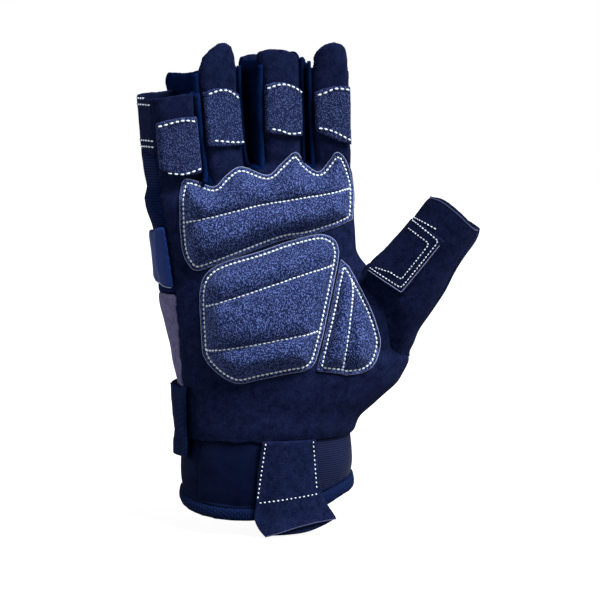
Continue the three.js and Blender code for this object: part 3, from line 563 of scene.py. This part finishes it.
def soft_solid(name, material, slot, voxel, rounds, grow):
    """A node's shape with its edges and facets smoothed, grown a little."""
    mesh = remeshed([name], voxel)
    points, pairs = points_of(mesh), edges_of(mesh)
    for _ in range(rounds):
        for share in (0.5, -0.5):
            points = points + share * (neighbour_mean(points, pairs) - points)
        points = points + 0.15 * (neighbour_mean(points, pairs) - points)
    set_points(mesh, points)
    set_points(mesh, points + grow * normals_of(mesh))
    return new_piece(name + "_cloth", mesh, material, slot, name)


# Quilted pads


def pad_height(name, places):
    """How high a pad stands over the palm at places in its plane."""
    rails, dome = PADS[name], DOMES[name]
    outline = outline_of(rails)
    inside = distance_to(places, outline + outline[:1])
    seam = np.full(len(places), np.inf)
    for rail in rails[1:-1]:
        seam = np.minimum(seam, distance_to(places, curve_through(rail)))
    past = np.clip(inside - PAD["stitch_in"], 0, None)
    swell, quilt = [1 - (1 - np.clip(gap / PAD["round"], 0, 1)) ** 2 for gap in (past, seam)]
    depth, width = RIM_GROOVE
    groove = depth * np.exp(-(((inside - PAD["stitch_in"]) / width) ** 2))
    depth, width = SEAM_GROOVE
    groove += depth * np.exp(-((seam / width) ** 2)) * (past > 0)
    x, z = places.T
    worn = 0.1 * np.sin(0.55 * x + 0.3 * z) * np.sin(0.47 * z - 0.2 * x)
    worn += 0.05 * np.sin(1.15 * x - 0.9 * z)
    peak = z.min() + dome["peak"] * (z.max() - z.min())
    half = np.where(z > peak, z.max() - peak, peak - z.min())
    rise = dome["height"] * swell * (1 - ((z - peak) / half) ** 2)
    pillow = PAD["crown"] * swell * (1 - PAD["seam"] * (1 - quilt))
    return PAD["edge"] + rise + pillow - groove + worn * swell


def outline_of(rails):
    """The closed outline of a pad, from its rails."""
    top = [tuple(p) for p in curve_through(rails[0])]
    bottom = [tuple(p) for p in curve_through(rails[-1])]
    right = [rail[-1] for rail in rails[1:-1]]
    left = [rail[0] for rail in rails[1:-1]]
    return top + right + bottom[::-1] + left[::-1]


def inset(outline, distance):
    """The closed line that runs inside an outline at a distance."""
    line = spaced(outline + outline[:1], 0.6)[:-1]
    ahead = np.roll(line, -1, 0) - np.roll(line, 1, 0)
    ahead /= np.maximum(np.linalg.norm(ahead, axis=1), 1e-9)[:, None]
    turned = np.roll(line, -1, 0)
    area = (line[:, 0] * turned[:, 1] - turned[:, 0] * line[:, 1]).sum()
    inward = np.column_stack([-ahead[:, 1], ahead[:, 0]]) * math.copysign(1, area)
    moved = line + inward * distance
    kept = moved[distance_to(moved, outline + outline[:1]) > distance - 0.15]
    return np.vstack([kept, kept[:1]])


def onto_palm(tree, places):
    """How far back the palm's surface lies under places in its plane."""
    found = []
    last = 0.0
    for x, z in places:
        hit, _, _, _ = tree.ray_cast(Vector((x, IN_FRONT, z)), Vector((0, 1, 0)))
        last = hit.y if hit is not None else last
        found.append(last)
    return np.array(found)


def pad_grid(rails):
    """Rows of places between a pad's rails."""
    lines = [resampled(curve_through(rail, 96), PAD_COLUMNS) for rail in rails]
    rows = []
    for upper, lower in zip(lines[:-1], lines[1:]):
        width = np.linalg.norm(upper - lower, axis=1).max()
        count = max(int(width / PAD_STEP), 2)
        for r in range(count):
            rows.append(upper + (lower - upper) * r / count)
    return np.array(rows + [lines[-1]])


def quilted_pad(name, skin, material, edge_and_highlight_paint):
    """A stuffed pad with sewn channels, laid on the palm's skin, with the raw edge of its cloth."""
    grid = pad_grid(PADS[name])
    places = grid.reshape(-1, 2)
    depth = onto_palm(skin, places).reshape(grid.shape[:2])
    for _ in range(3):
        depth[1:-1, 1:-1] = (depth[:-2, 1:-1] + depth[2:, 1:-1] + depth[1:-1, :-2] + depth[1:-1, 2:]) / 4
    height = pad_height(name, places).reshape(depth.shape)
    top = np.dstack([grid[..., 0], depth - height, grid[..., 1]])
    foot = np.dstack([grid[..., 0], depth + PAD["buried"], grid[..., 1]])
    piece = new_piece(name + "_quilt", walled(top, foot), material, "grained", name)
    border = [tuple(p) for p in outline_of(PADS[name])]
    edge = [(x, y - PAD["edge"] * 0.55, z) for (x, z), y in zip(border, onto_palm(skin, border))]
    cord_piece(name + "_raw_edge_and_highlight", [edge + edge[:1]], edge_and_highlight_paint, "grained", radius=0.26)
    return piece


def walled(top, foot):
    """A closed mesh between two grids of points."""
    rows, columns = top.shape[:2]
    points = np.vstack([top.reshape(-1, 3), foot.reshape(-1, 3)])
    behind = rows * columns
    faces = []
    for r in range(rows - 1):
        for c in range(columns - 1):
            a, b = r * columns + c, (r + 1) * columns + c
            faces.append((a, a + 1, b + 1, b))
            faces.append((behind + a, behind + b, behind + b + 1, behind + a + 1))
    rim = list(range(columns)) + [r * columns + columns - 1 for r in range(1, rows)]
    rim += [(rows - 1) * columns + c for c in range(columns - 2, -1, -1)]
    rim += [r * columns for r in range(rows - 2, 0, -1)]
    for a, b in zip(rim, rim[1:] + rim[:1]):
        faces.append((b, a, behind + a, behind + b))
    mesh = mesh_from(points, faces)
    shape = bmesh.new()
    shape.from_mesh(mesh)
    bmesh.ops.remove_doubles(shape, verts=shape.verts, dist=0.001 * MM)
    bmesh.ops.recalc_face_normals(shape, faces=shape.faces)
    shape.to_mesh(mesh)
    shape.free()
    return mesh


# The pull tab


def pull_tab(skin, material, edge_and_highlight_paint):
    """Two leaves, one a little behind the other, that hang down the cuff's front past the rim; at their
    foot the front one arches up and the one under it sags."""
    left = curve_through([row["left"] for row in TAB], TAB_LEAF["rows"])
    right = curve_through([row["right"] for row in TAB], TAB_LEAF["rows"])
    rows = len(left)
    out = np.interp(np.linspace(0, 1, rows), np.linspace(0, 1, len(TAB)), [row["out"] for row in TAB])
    # 0 over three quarters of the tab, then up to 1 at its foot.
    foot = np.clip(np.linspace(-3.2, 1, rows), 0, 1)
    shares = np.linspace(0, 1, TAB_LEAF["columns"])
    across = np.linspace(-6, 34, 30)
    cuff_y = onto_palm(skin, [(x, 20) for x in across])
    tab = bmesh.new()
    for side, leaf in TAB_LEAVES.items():
        front, back = [], []
        for (x0, z0), (x1, z1), stand, down in zip(left, right, out, foot):
            x = x0 + (x1 - x0) * shares
            z = z0 + (z1 - z0) * shares + leaf["bow"] * down * np.sin(math.pi * shares**1.3)
            y = np.interp(x, across, cuff_y) - stand + leaf["behind"]
            y += 0.25 * np.sin(3.4 * shares + 0.22 * z) * np.clip((8 - z) / 8, 0, 1)
            front.append(np.column_stack([x, y - TAB_LEAF["thick"], z]))
            back.append(np.column_stack([x, y, z]))
        tab.from_mesh(walled(np.array(front), np.array(back)))
        if side == "front":
            # A pale line painted along the front leaf's foot as the highlight that its ridge catches.
            cord_piece("pull_tab_ridge_highlight", [front[-1]], edge_and_highlight_paint, "suede", radius=0.25)
    mesh = bpy.data.meshes.new("tab")
    tab.to_mesh(mesh)
    tab.free()
    piece = new_piece("pull_tab_leaves", mesh, material, "suede", "pull_tab")
    return piece


# Threads and cords


def tube_faces(first, rings, sides):
    """The faces of a closed tube whose points follow each other ring by ring."""
    last = first + (rings - 1) * sides
    faces = []
    for ring in range(first, last, sides):
        for k in range(sides):
            a, b = ring + k, ring + (k + 1) % sides
            faces.append((a, b, b + sides, a + sides))
    faces.append(tuple(range(first, first + sides))[::-1])
    faces.append(tuple(range(last, last + sides)))
    return faces


def cord_piece(name, lines, material, slot, radius):
    """Round cords along lines in space, joined in one piece."""
    points, faces = [], []
    for line in lines:
        line = spaced(line, max(radius, 0.5))
        faces += tube_faces(len(points), len(line), CORD_SIDES)
        for i, centre in enumerate(line):
            ahead = line[min(i + 1, len(line) - 1)] - line[max(i - 1, 0)]
            ahead /= max(np.linalg.norm(ahead), 1e-9)
            side = np.cross(ahead, (0, 1, 0))
            if np.linalg.norm(side) < 0.2:
                side = np.cross(ahead, (0, 0, 1))
            side /= np.linalg.norm(side)
            up = np.cross(side, ahead)
            for k in range(CORD_SIDES):
                turn = 2 * math.pi * k / CORD_SIDES
                points.append(centre + radius * (math.cos(turn) * side + math.sin(turn) * up))
    return new_piece(name, mesh_from(points, faces), material, slot)


def stitch_points(place, ahead, up, length, width):
    """The rings of points of one stitch, which lies on a surface and rises in its middle."""
    side = np.cross(ahead, up)
    points = []
    for i in range(STITCH["rings"]):
        at = -1 + 2 * i / (STITCH["rings"] - 1)
        girth = width / 2 * (STITCH["tip"] + (1 - STITCH["tip"]) * math.sqrt(1 - at**2))
        lift = STITCH["lift"] - STITCH["sink"] * at**2
        centre = place + ahead * at * length / 2 + up * lift
        for k in range(STITCH["sides"]):
            turn = 2 * math.pi * k / STITCH["sides"]
            rise = STITCH["flat"] * math.sin(turn)
            points.append(centre + girth * (math.cos(turn) * side + rise * up))
    return points


def stitches(name, runs, tree, material, slot, pitch, share, width):
    """Sewn dashes along lines near a surface, lying on that surface."""
    points, faces = [], []
    for run in runs:
        line = spaced(run, pitch)
        for a, b in zip(line[:-1], line[1:]):
            reach = np.linalg.norm(b - a)
            place, normal, _, _ = tree.find_nearest(Vector((a + b) / 2), 4)
            if reach < 0.3 * pitch or place is None:
                continue
            up = np.array(normal)
            ahead = (b - a) / reach
            ahead -= up * (ahead @ up)
            ahead /= max(np.linalg.norm(ahead), 1e-9)
            faces += tube_faces(len(points), STITCH["rings"], STITCH["sides"])
            points += stitch_points(np.array(place), ahead, up, share * reach, width)
    return new_piece(name, mesh_from(points, faces), material, slot)


def front_run(line, tree, straight=False):
    """A line over the palm side, laid on a surface, smooth unless its stretches are straight."""
    run = []
    for x, z in spaced(line if straight else curve_through(line), RUN_STEP):
        hit, _, _, _ = tree.ray_cast(Vector((x, IN_FRONT, z)), Vector((0, 1, 0)))
        if hit is not None:
            run.append(tuple(hit))
    return run


def finger_axes(finger):
    """A finger's root, its directions across, along and to the palm, and its length."""
    root = np.array(finger["root"], float)
    along = np.array(finger["rim"], float) - root
    length = np.linalg.norm(along)
    along /= length
    turn = math.radians(finger["turn"])
    palmward = np.array((math.sin(turn), -math.cos(turn), 0))
    palmward -= along * (palmward @ along)
    palmward /= np.linalg.norm(palmward)
    return root, np.cross(along, palmward), along, palmward, length


def finger_run(finger, line, tree):
    """A line on a finger's palm side, in its own measures across and along."""
    root, across, along, palmward, _ = finger_axes(finger)
    run = []
    for u, w in curve_through(line, 24):
        start = root + across * u + along * w + palmward * OUT_OF_FINGER
        hit, _, _, _ = tree.ray_cast(Vector(start), Vector(-palmward))
        if hit is not None:
            run.append(tuple(hit))
    return run


def round_run(finger, w, angles, tree, slope=0.0):
    """A line round a finger between two angles, 90 degrees being its palm side. It stands as far along
    the finger as asked, and the slope raises it on the palm side."""
    root, across, along, palmward, _ = finger_axes(finger)
    run = []
    for angle in np.radians(np.linspace(*angles, 40)):
        out = across * math.cos(angle) + palmward * math.sin(angle)
        centre = root + along * (w + slope * finger["depth"] / 2 * math.sin(angle))
        hit, _, _, _ = tree.ray_cast(Vector(centre + out * OUT_OF_FINGER), Vector(-out))
        if hit is not None and (np.array(hit) - centre) @ out > 4:
            run.append(tuple(hit))
    return run


def guard_rim(points):
    """A line down the side guard's outer side and along its lower edge."""
    line = []
    for z in np.linspace(*GUARD_LEVELS):
        level = points[np.abs(points[:, 2] - z) < 0.8]
        line.append(level[np.argmin(level[:, 0])])
    for x in np.linspace(*GUARD_PLACES):
        level = points[(np.abs(points[:, 0] - x) < 0.9) & (points[:, 1] < -8)]
        line.append(level[np.argmin(level[:, 2] + 0.1 * level[:, 1])])
    return curve_through(line, 200)


def cuff_rim(points):
    """The ring along the top of the cuff's binding, in the middle of its width."""
    x, y = (points[:, :2] - CUFF_CENTRE).T
    around = np.degrees(np.arctan2(y, x))
    ring = []
    for angle in np.arange(-180, 180, CUFF_STEP):
        near = points[np.abs((around - angle + 180) % 360 - 180) < 3]
        middle = (near[:, :2].max(0) + near[:, :2].min(0)) / 2
        ring.append((*middle, near[:, 2].max() + 0.1))
    return ring + ring[:1]


def welt_line(finger, side, start, end):
    """A line beside a finger's palm strip that curls outwards at its root."""
    root, across, along, palmward, _ = finger_axes(finger)
    edge = root + side * across * (finger["width"] / 2 + WELT["out"])
    edge += palmward * (finger["depth"] / 2 - WELT["behind"])
    curl = edge + along * (start - WELT["curl"])
    curl = curl + side * across * WELT["curl_out"] + palmward * WELT["curl_up"]
    return curve_through([curl] + [edge + along * far for far in (start, (start + end) / 2, end)])


# Materials


class Paint:
    """A material under construction, in millimetres of the glove's own frame."""

    def __init__(self, name, roughness, **sockets):
        self.material = bpy.data.materials.new(name)
        self.material.use_nodes = True
        self.nodes = self.material.node_tree.nodes
        self.links = self.material.node_tree.links
        self.shader = self.nodes["Principled BSDF"]
        self.shader.inputs["Roughness"].default_value = roughness
        for socket, value in sockets.items():
            self.shader.inputs[socket.replace("_", " ")].default_value = value
        self.place = self.put("ShaderNodeTexCoord").outputs["Object"]

    def put(self, kind, settings=None, **inputs):
        """A new node. Its inputs, values or links, go by their names or by _ and their numbers."""
        node = self.nodes.new(kind)
        for key, value in (settings or {}).items():
            setattr(node, key, value)
        for key, value in inputs.items():
            socket = node.inputs[int(key[1:]) if key[0] == "_" else key.replace("_", " ")]
            if isinstance(value, bpy.types.NodeSocket):
                self.links.new(value, socket)
            else:
                socket.default_value = value
        return node

    def scaled(self, x=1, y=1, z=1):
        node = self.put("ShaderNodeMapping", Vector=self.place, Scale=(x / MM, y / MM, z / MM))
        return node.outputs[0]

    def noise(self, scale, detail=3, roughness=0.55, stretch=(1, 1, 1)):
        """Noise with features about 1 / scale millimetres across."""
        node = self.put("ShaderNodeTexNoise", Vector=self.scaled(*stretch), Scale=scale,
                        Detail=detail, Roughness=roughness)
        return node.outputs[0]

    def cells(self, scale):
        node = self.put("ShaderNodeTexVoronoi", Vector=self.scaled(), Scale=scale, Randomness=1.0)
        return node.outputs["Distance"]

    def bands(self, pitch, direction, distortion):
        settings = {"bands_direction": direction}
        node = self.put("ShaderNodeTexWave", settings, Vector=self.scaled(), Distortion=distortion,
                        Scale=math.pi / 10 / pitch, Detail=1.0)
        return node.outputs["Fac"]

    def sharp(self, value, low, high, to_low=0.0, to_high=1.0):
        node = self.put("ShaderNodeMapRange", Value=value, From_Min=low, From_Max=high, To_Min=to_low,
                        To_Max=to_high)
        return node.outputs[0]

    def math(self, operation, a, b=0.0):
        return self.put("ShaderNodeMath", {"operation": operation}, _0=a, _1=b).outputs[0]

    def blend(self, share, dark, light):
        node = self.put("ShaderNodeMix", {"data_type": "RGBA"}, _0=share, _6=(*dark, 1), _7=(*light, 1))
        return node.outputs[2]

    def colour(self, value):
        self.links.new(value, self.shader.inputs["Base Color"])

    def relief(self, *layers):
        """Bumps stacked on each other: (height from 0 to 1, millimetres)."""
        below = None
        for height, depth in layers:
            node = self.put("ShaderNodeBump", Height=height, Distance=depth * MM, Strength=1.0)
            if below is not None:
                self.links.new(below, node.inputs["Normal"])
            below = node.outputs[0]
        self.links.new(below, self.shader.inputs["Normal"])
        return self.material


def suede(name, dark, light, sheen=0.008):
    paint = Paint(name, 0.95, Sheen_Weight=sheen, Sheen_Roughness=0.5, Specular_IOR_Level=0.02)
    paint.shader.inputs["Sheen Tint"].default_value = (0.55, 0.62, 1, 1)
    nap = paint.noise(2.0, 4, 0.75)
    mottle = paint.noise(0.3, 4, 0.7)
    share = paint.math("MULTIPLY_ADD", nap, 1.5)
    paint.links.new(mottle, share.node.inputs[2])
    paint.colour(paint.blend(paint.sharp(share, 0.95, 1.55), dark, light))
    return paint.relief((paint.noise(0.5, 3), 0.18), (nap, 0.35))


def grained(name, share=1.0):
    """Mid-blue textile with a pebbled, slightly slanted grain."""
    paint = Paint(name, 0.8, Sheen_Weight=0.01, Sheen_Roughness=0.45, Specular_IOR_Level=0.1)
    fine = paint.noise(1.6, 1.0, 0.5, (1.25, 1, 0.85))
    cells = paint.cells(1.4)
    wide = paint.noise(0.1, 2)
    pebble = paint.math("SUBTRACT", paint.sharp(fine, 0.47, 0.63), paint.math("MULTIPLY", cells, 0.1))
    tone = paint.math("ADD", pebble, paint.sharp(wide, 0.3, 0.7, -0.05, 0.05))
    light = tuple(share * c for c in (0.083, 0.126, 0.35))
    paint.colour(paint.blend(tone, (0.003, 0.0085, 0.046), light))
    return paint.relief((wide, 0.1), (pebble, 0.3))


def smooth_cloth(name, dark, light, roughness, gloss):
    paint = Paint(name, roughness, Specular_IOR_Level=gloss)
    knit = paint.bands(0.55, "DIAGONAL", 0.6)
    wide = paint.noise(0.12, 3)
    paint.colour(paint.blend(paint.sharp(wide, 0.3, 0.7), dark, light))
    return paint.relief((wide, 0.25), (knit, 0.03))


def ribbed(name, pitch, dark, light, depth, sheen=0.01):
    """Stretch fabric with ribs that run round the hand."""
    paint = Paint(name, 0.75, Sheen_Weight=sheen, Sheen_Roughness=0.4, Specular_IOR_Level=0.02)
    ribs = paint.bands(pitch, "Z", 0.25)
    knit = paint.noise(2.2, 2, 0.6, (0.35, 0.35, 1.2))
    tone = paint.math("MULTIPLY", ribs, paint.sharp(knit, 0.25, 0.7, 0.6, 1.0))
    paint.colour(paint.blend(tone, dark, light))
    return paint.relief((ribs, depth), (knit, 0.06))


def tape(name):
    """Binding tape with a small raised weave."""
    paint = Paint(name, 0.75, Specular_IOR_Level=0.04)
    one = paint.bands(1.1, "DIAGONAL", 0.8)
    other = paint.bands(1.3, "X", 1.2)
    weave = paint.math("MULTIPLY", one, other)
    grit = paint.noise(1.8, 3, 0.7)
    tone = paint.math("MULTIPLY", paint.math("ADD", weave, grit), 0.6)
    paint.colour(paint.blend(tone, (0.0004, 0.002, 0.014), (0.0038, 0.013, 0.06)))
    return paint.relief((weave, 0.25), (grit, 0.2))


def rubber(name):
    paint = Paint(name, 0.45, Specular_IOR_Level=0.08)
    wide = paint.noise(0.15, 2)
    paint.colour(paint.blend(wide, (0.005, 0.018, 0.1), (0.008, 0.026, 0.14)))
    polish = paint.sharp(paint.noise(0.8, 3), 0.2, 0.8, 0.34, 0.55)
    paint.links.new(polish, paint.shader.inputs["Roughness"])
    return paint.relief((wide, 0.2), (paint.noise(4, 2), 0.02))


def thread(name, dark, light):
    paint = Paint(name, 0.6, Sheen_Weight=0.7, Sheen_Roughness=0.5, Specular_IOR_Level=0.4)
    twist = paint.bands(0.45, "DIAGONAL", 0.3)
    paint.colour(paint.blend(twist, dark, light))
    return paint.relief((twist, 0.08))


# Pale fibrous lines: the real raw edges of the pads and the thumb patch, and pale lines painted along
# edges as their highlights.
def raw_edge_and_highlight(name, dark, light):
    paint = Paint(name, 0.9, Sheen_Weight=0.2, Specular_IOR_Level=0.2)
    fibres = paint.noise(2.5, 3, 0.7)
    paint.colour(paint.blend(paint.sharp(fibres, 0.3, 0.7), dark, light))
    return paint.relief((fibres, 0.15))


navy_suede = suede("navy_suede", (0.0011, 0.0027, 0.015), (0.0095, 0.015, 0.055))
grey_suede = suede("grey_suede", (0.062, 0.057, 0.12), (0.16, 0.147, 0.28), 0.02)
blue_grain = grained("blue_grain")
dark_grain = grained("dark_grain", 0.6)
neoprene = smooth_cloth("neoprene", (0.001, 0.0027, 0.016), (0.0024, 0.0053, 0.025), 0.65, 0.03)
shiny_gusset = smooth_cloth("shiny_gusset", (0.0008, 0.0036, 0.021), (0.0019, 0.0076, 0.038), 0.6, 0.0)
# The welts' cloth: the gussets' cloth painted lighter, standing in for the highlight along the welts.
welt_cloth_painted_highlight = smooth_cloth("welt_cloth_painted_highlight", (0.0012, 0.0056, 0.031), (0.0031, 0.012, 0.056), 0.6, 0.0)
rib_stretch = ribbed("rib_stretch", 1.2, (0.0002, 0.0013, 0.012), (0.0035, 0.014, 0.075), 0.3)
rib_elastic = ribbed("rib_elastic", 1.0, (0.0029, 0.0049, 0.019), (0.01, 0.015, 0.048), 0.16, 0.05)
woven_tape = tape("woven_tape")
soft_rubber = rubber("soft_rubber")
white_thread = thread("white_thread", (0.69, 0.81, 0.99), (0.83, 0.92, 1.0))
pale_edge = raw_edge_and_highlight("pale_edge", (0.08, 0.1, 0.2), (0.3, 0.35, 0.55))
# A pale navy painted on as highlight, for the line along the pull tab's fold and the line round the
# thumb's rim.
tab_edge = raw_edge_and_highlight("tab_edge", (0.012, 0.016, 0.055), (0.045, 0.055, 0.13))
# A pale grey painted on as the highlight along the side guard's edge.
guard_edge = raw_edge_and_highlight("guard_edge", (0.16, 0.2, 0.3), (0.4, 0.45, 0.58))


# The glove's panels

node_trees = {name: tree_of(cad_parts[name].data) for name in HAND_NODES + CUFF_NODES}
hand_skin = skin_of(HAND_NODES, 1.0, 60, hand_looseness, CREASES)
cuff_skin = skin_of(CUFF_NODES, 1.0, 50, even_looseness)

# Material and slot of each panel.
PANEL_FINISH = {
    "palm_panel": (navy_suede, "suede"),
    "thumb_front": (navy_suede, "suede"),
    "thumb_back": (rib_stretch, "stretch"),
    "stretch_back": (rib_stretch, "stretch"),
    "suede_back": (grey_suede, "side_suede"),
}
PANEL_FINISH |= {name + "_back": (navy_suede, "side_suede") for name in CAPS}
PANEL_FINISH |= {name: (shiny_gusset, "neoprene") for name in GUSSETS}
CUFF_FINISH = {
    "cuff_front": (neoprene, "neoprene"),
    "cuff_back": (neoprene, "neoprene"),
    "cuff_elastic": (rib_elastic, "stretch"),
}
# Name, material, slot, step of the mesh, rounds of smoothing and how far the piece grows.
SOLIDS = [
    ("wrist_strap", neoprene, "neoprene", 0.8, 30, 0.1),
    ("strap_binding", woven_tape, "tape", 0.6, 20, 0.1),
    ("cuff_binding", woven_tape, "tape", 0.7, 14, 0.5),
    ("side_guard", soft_rubber, "guard_rubber", 0.6, 30, 0.1),
    ("thumb_patch", navy_suede, "suede", 0.5, 12, 0.1),
]
SOLIDS += [(name + "_patch", dark_grain, "grained", 0.5, 12, 0.1) for name in PATCH_ROWS]

cloth = {}
for name, finish in PANEL_FINISH.items():
    seams = {"valley": VALLEYS.get(name, VALLEY), "spread": SPREADS.get(name, SPREAD)}
    cloth[name] = panel(name, hand_skin, *finish, **seams)
for name, finish in CUFF_FINISH.items():
    cloth[name] = panel(name, cuff_skin, *finish, **CUFF_SEAMS)
for name, *settings in SOLIDS:
    cloth[name] = soft_solid(name, *settings)
for name in PADS:
    cloth[name] = quilted_pad(name, hand_skin, blue_grain, pale_edge)
cloth["pull_tab"] = pull_tab(cuff_skin, navy_suede, tab_edge)


# Sewing

for name, rails in PADS.items():
    tree = tree_of(cloth[name].data)
    outline = outline_of(rails)
    edge = outline + outline[:1]
    runs = [front_run(inset(outline, PAD["stitch_in"]), tree, straight=True)]
    for rail in rails[1:-1]:
        line = curve_through(rail)
        runs.append(front_run(line[distance_to(line, edge) > PAD["stitch_in"]], tree))
    stitches(name + "_stitches", runs, tree, white_thread, "grained", **STITCHES["pad"])

for name, rows in PATCH_ROWS.items():
    tree = tree_of(cloth[name + "_patch"].data)
    runs = [finger_run(FINGERS[name], row, tree) for row in rows]
    stitches(name + "_patch_stitches", runs, tree, white_thread, "grained", **STITCHES["patch"])

tree = tree_of(cloth["thumb_patch"].data)
front_tree = tree_of(cloth["thumb_front"].data)
runs = [front_run(row, tree, straight=True) for row in THUMB_ROWS]
stitches("thumb_patch_stitches", runs, tree, white_thread, "suede", **STITCHES["thumb"])
hem = front_run(THUMB_HEM_ROW, front_tree)
stitches("thumb_hem_stitches", [hem], front_tree, white_thread, "suede", **STITCHES["thumb"])
edge = front_run(THUMB_EDGE, tree, straight=True)
cord_piece("thumb_patch_raw_edge_and_highlight", [edge], pale_edge, "suede", radius=0.18)

for name, cap in CAPS.items():
    finger = FINGERS[name]
    length = finger_axes(finger)[-1]
    tree = tree_of(cloth[name + "_back"].data)
    rows = [(length - below, cap["rim_slope"]) for below in CAP_BELOW_RIM]
    rows += [(length - CAP + above, cap["end_slope"]) for above in CAP_ABOVE_END]
    runs = [round_run(finger, w, cap["angles"], tree, slope) for w, slope in rows]
    stitches(name + "_cap_stitches", runs, tree, white_thread, "side_suede", **STITCHES["cap"])

tree = tree_of(cloth["pull_tab"].data)
runs = [front_run(row, tree, straight=True) for row in TAB_ROWS]
stitches("tab_stitches", runs, tree, white_thread, "suede", **STITCHES["tab"])

# A pale line painted along the side guard's outer and lower edges as the highlight on its edge.
rim = guard_rim(points_of(cloth["side_guard"].data))
cord_piece("side_guard_rim_highlight", [rim], guard_edge, "guard_rubber", radius=0.35)

# A pale line painted round the thumb's rim as its highlight.
thumb = FINGERS["thumb"]
rim = round_run(thumb, finger_axes(thumb)[-1] - THUMB_RIM_HIGHLIGHT["below"], THUMB_RIM_HIGHLIGHT["angles"], front_tree)
cord_piece("thumb_rim_edge", [rim], tab_edge, "suede", radius=0.25)

rim = cuff_rim(points_of(cloth["cuff_binding"].data))
cord_piece("cuff_rim_seam", [rim], neoprene, "neoprene", radius=1.1)

# Real folded welts, in cloth painted lighter as their highlight.
for name, side, start, end, radius in WELTS:
    line = welt_line(FINGERS[name], side, start, end)
    where = "right" if side > 0 else "left"
    cord_piece(f"{name}_welt_{where}", [line], welt_cloth_painted_highlight, "neoprene", radius)

for piece in made:
    set_points(piece.data, nudged(piece.name, points_of(piece.data)))


# Camera, floor and light


def camera():
    data = bpy.data.cameras.new("camera")
    data.lens = LENS
    data.sensor_width = 36
    data.clip_start = 0.01
    eye = placed("camera", data)
    eye.location = Vector(EYE) * MM
    eye.rotation_euler = (Vector(AIM) - Vector(EYE)).to_track_quat("-Z", "Y").to_euler()
    bpy.context.scene.camera = eye


def floor(level):
    shape = bmesh.new()
    bmesh.ops.create_grid(shape, x_segments=4, y_segments=4, size=4)
    mesh = bpy.data.meshes.new("floor")
    shape.to_mesh(mesh)
    shape.free()
    ground = placed("floor", mesh)
    ground.location = (0, 0, level)
    paint = Paint("pale_floor", 0.9)
    paint.shader.inputs["Base Color"].default_value = FLOOR_GREY
    paint.shader.inputs["Emission Color"].default_value = WHITE
    seen = paint.put("ShaderNodeLightPath").outputs["Is Camera Ray"]
    paint.links.new(paint.math("MULTIPLY", seen, FLOOR_GLOW), paint.shader.inputs["Emission Strength"])
    mesh.materials.append(paint.material)
    ground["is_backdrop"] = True


def area_light(name, place, size, power):
    data = bpy.data.lights.new(name, "AREA")
    data.shape = "DISK"
    data.size = size
    data.energy = power
    lamp = placed(name, data)
    lamp.location = Vector(place) * MM
    lamp.rotation_euler = (Vector(LAMP_AIM) * MM - lamp.location).to_track_quat("-Z", "Y").to_euler()


def studio():
    """A white surround that lights the glove softly, a broad sun from the upper right and three lamps."""
    world = bpy.data.worlds.new("studio")
    world.use_nodes = True
    tree = world.node_tree
    seen = tree.nodes.new("ShaderNodeLightPath").outputs["Is Camera Ray"]
    strength = tree.nodes.new("ShaderNodeMapRange")
    strength.inputs["To Min"].default_value = SURROUND
    tree.links.new(seen, strength.inputs["Value"])
    tree.links.new(strength.outputs[0], tree.nodes["Background"].inputs["Strength"])
    tree.nodes["Background"].inputs["Color"].default_value = WHITE
    bpy.context.scene.world = world
    bpy.context.scene.view_settings.view_transform = "Standard"
    sun = bpy.data.lights.new("sun", "SUN")
    sun.energy = SUN["power"]
    sun.angle = math.radians(SUN["angle"])
    lamp = placed("sun", sun)
    lamp.rotation_euler = Vector(SUN["towards"]).to_track_quat("-Z", "Y").to_euler()
    for name, settings in LAMPS.items():
        area_light(name, **settings)


camera()
floor(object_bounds()[0].z - FLOOR_DROP * MM)
studio()
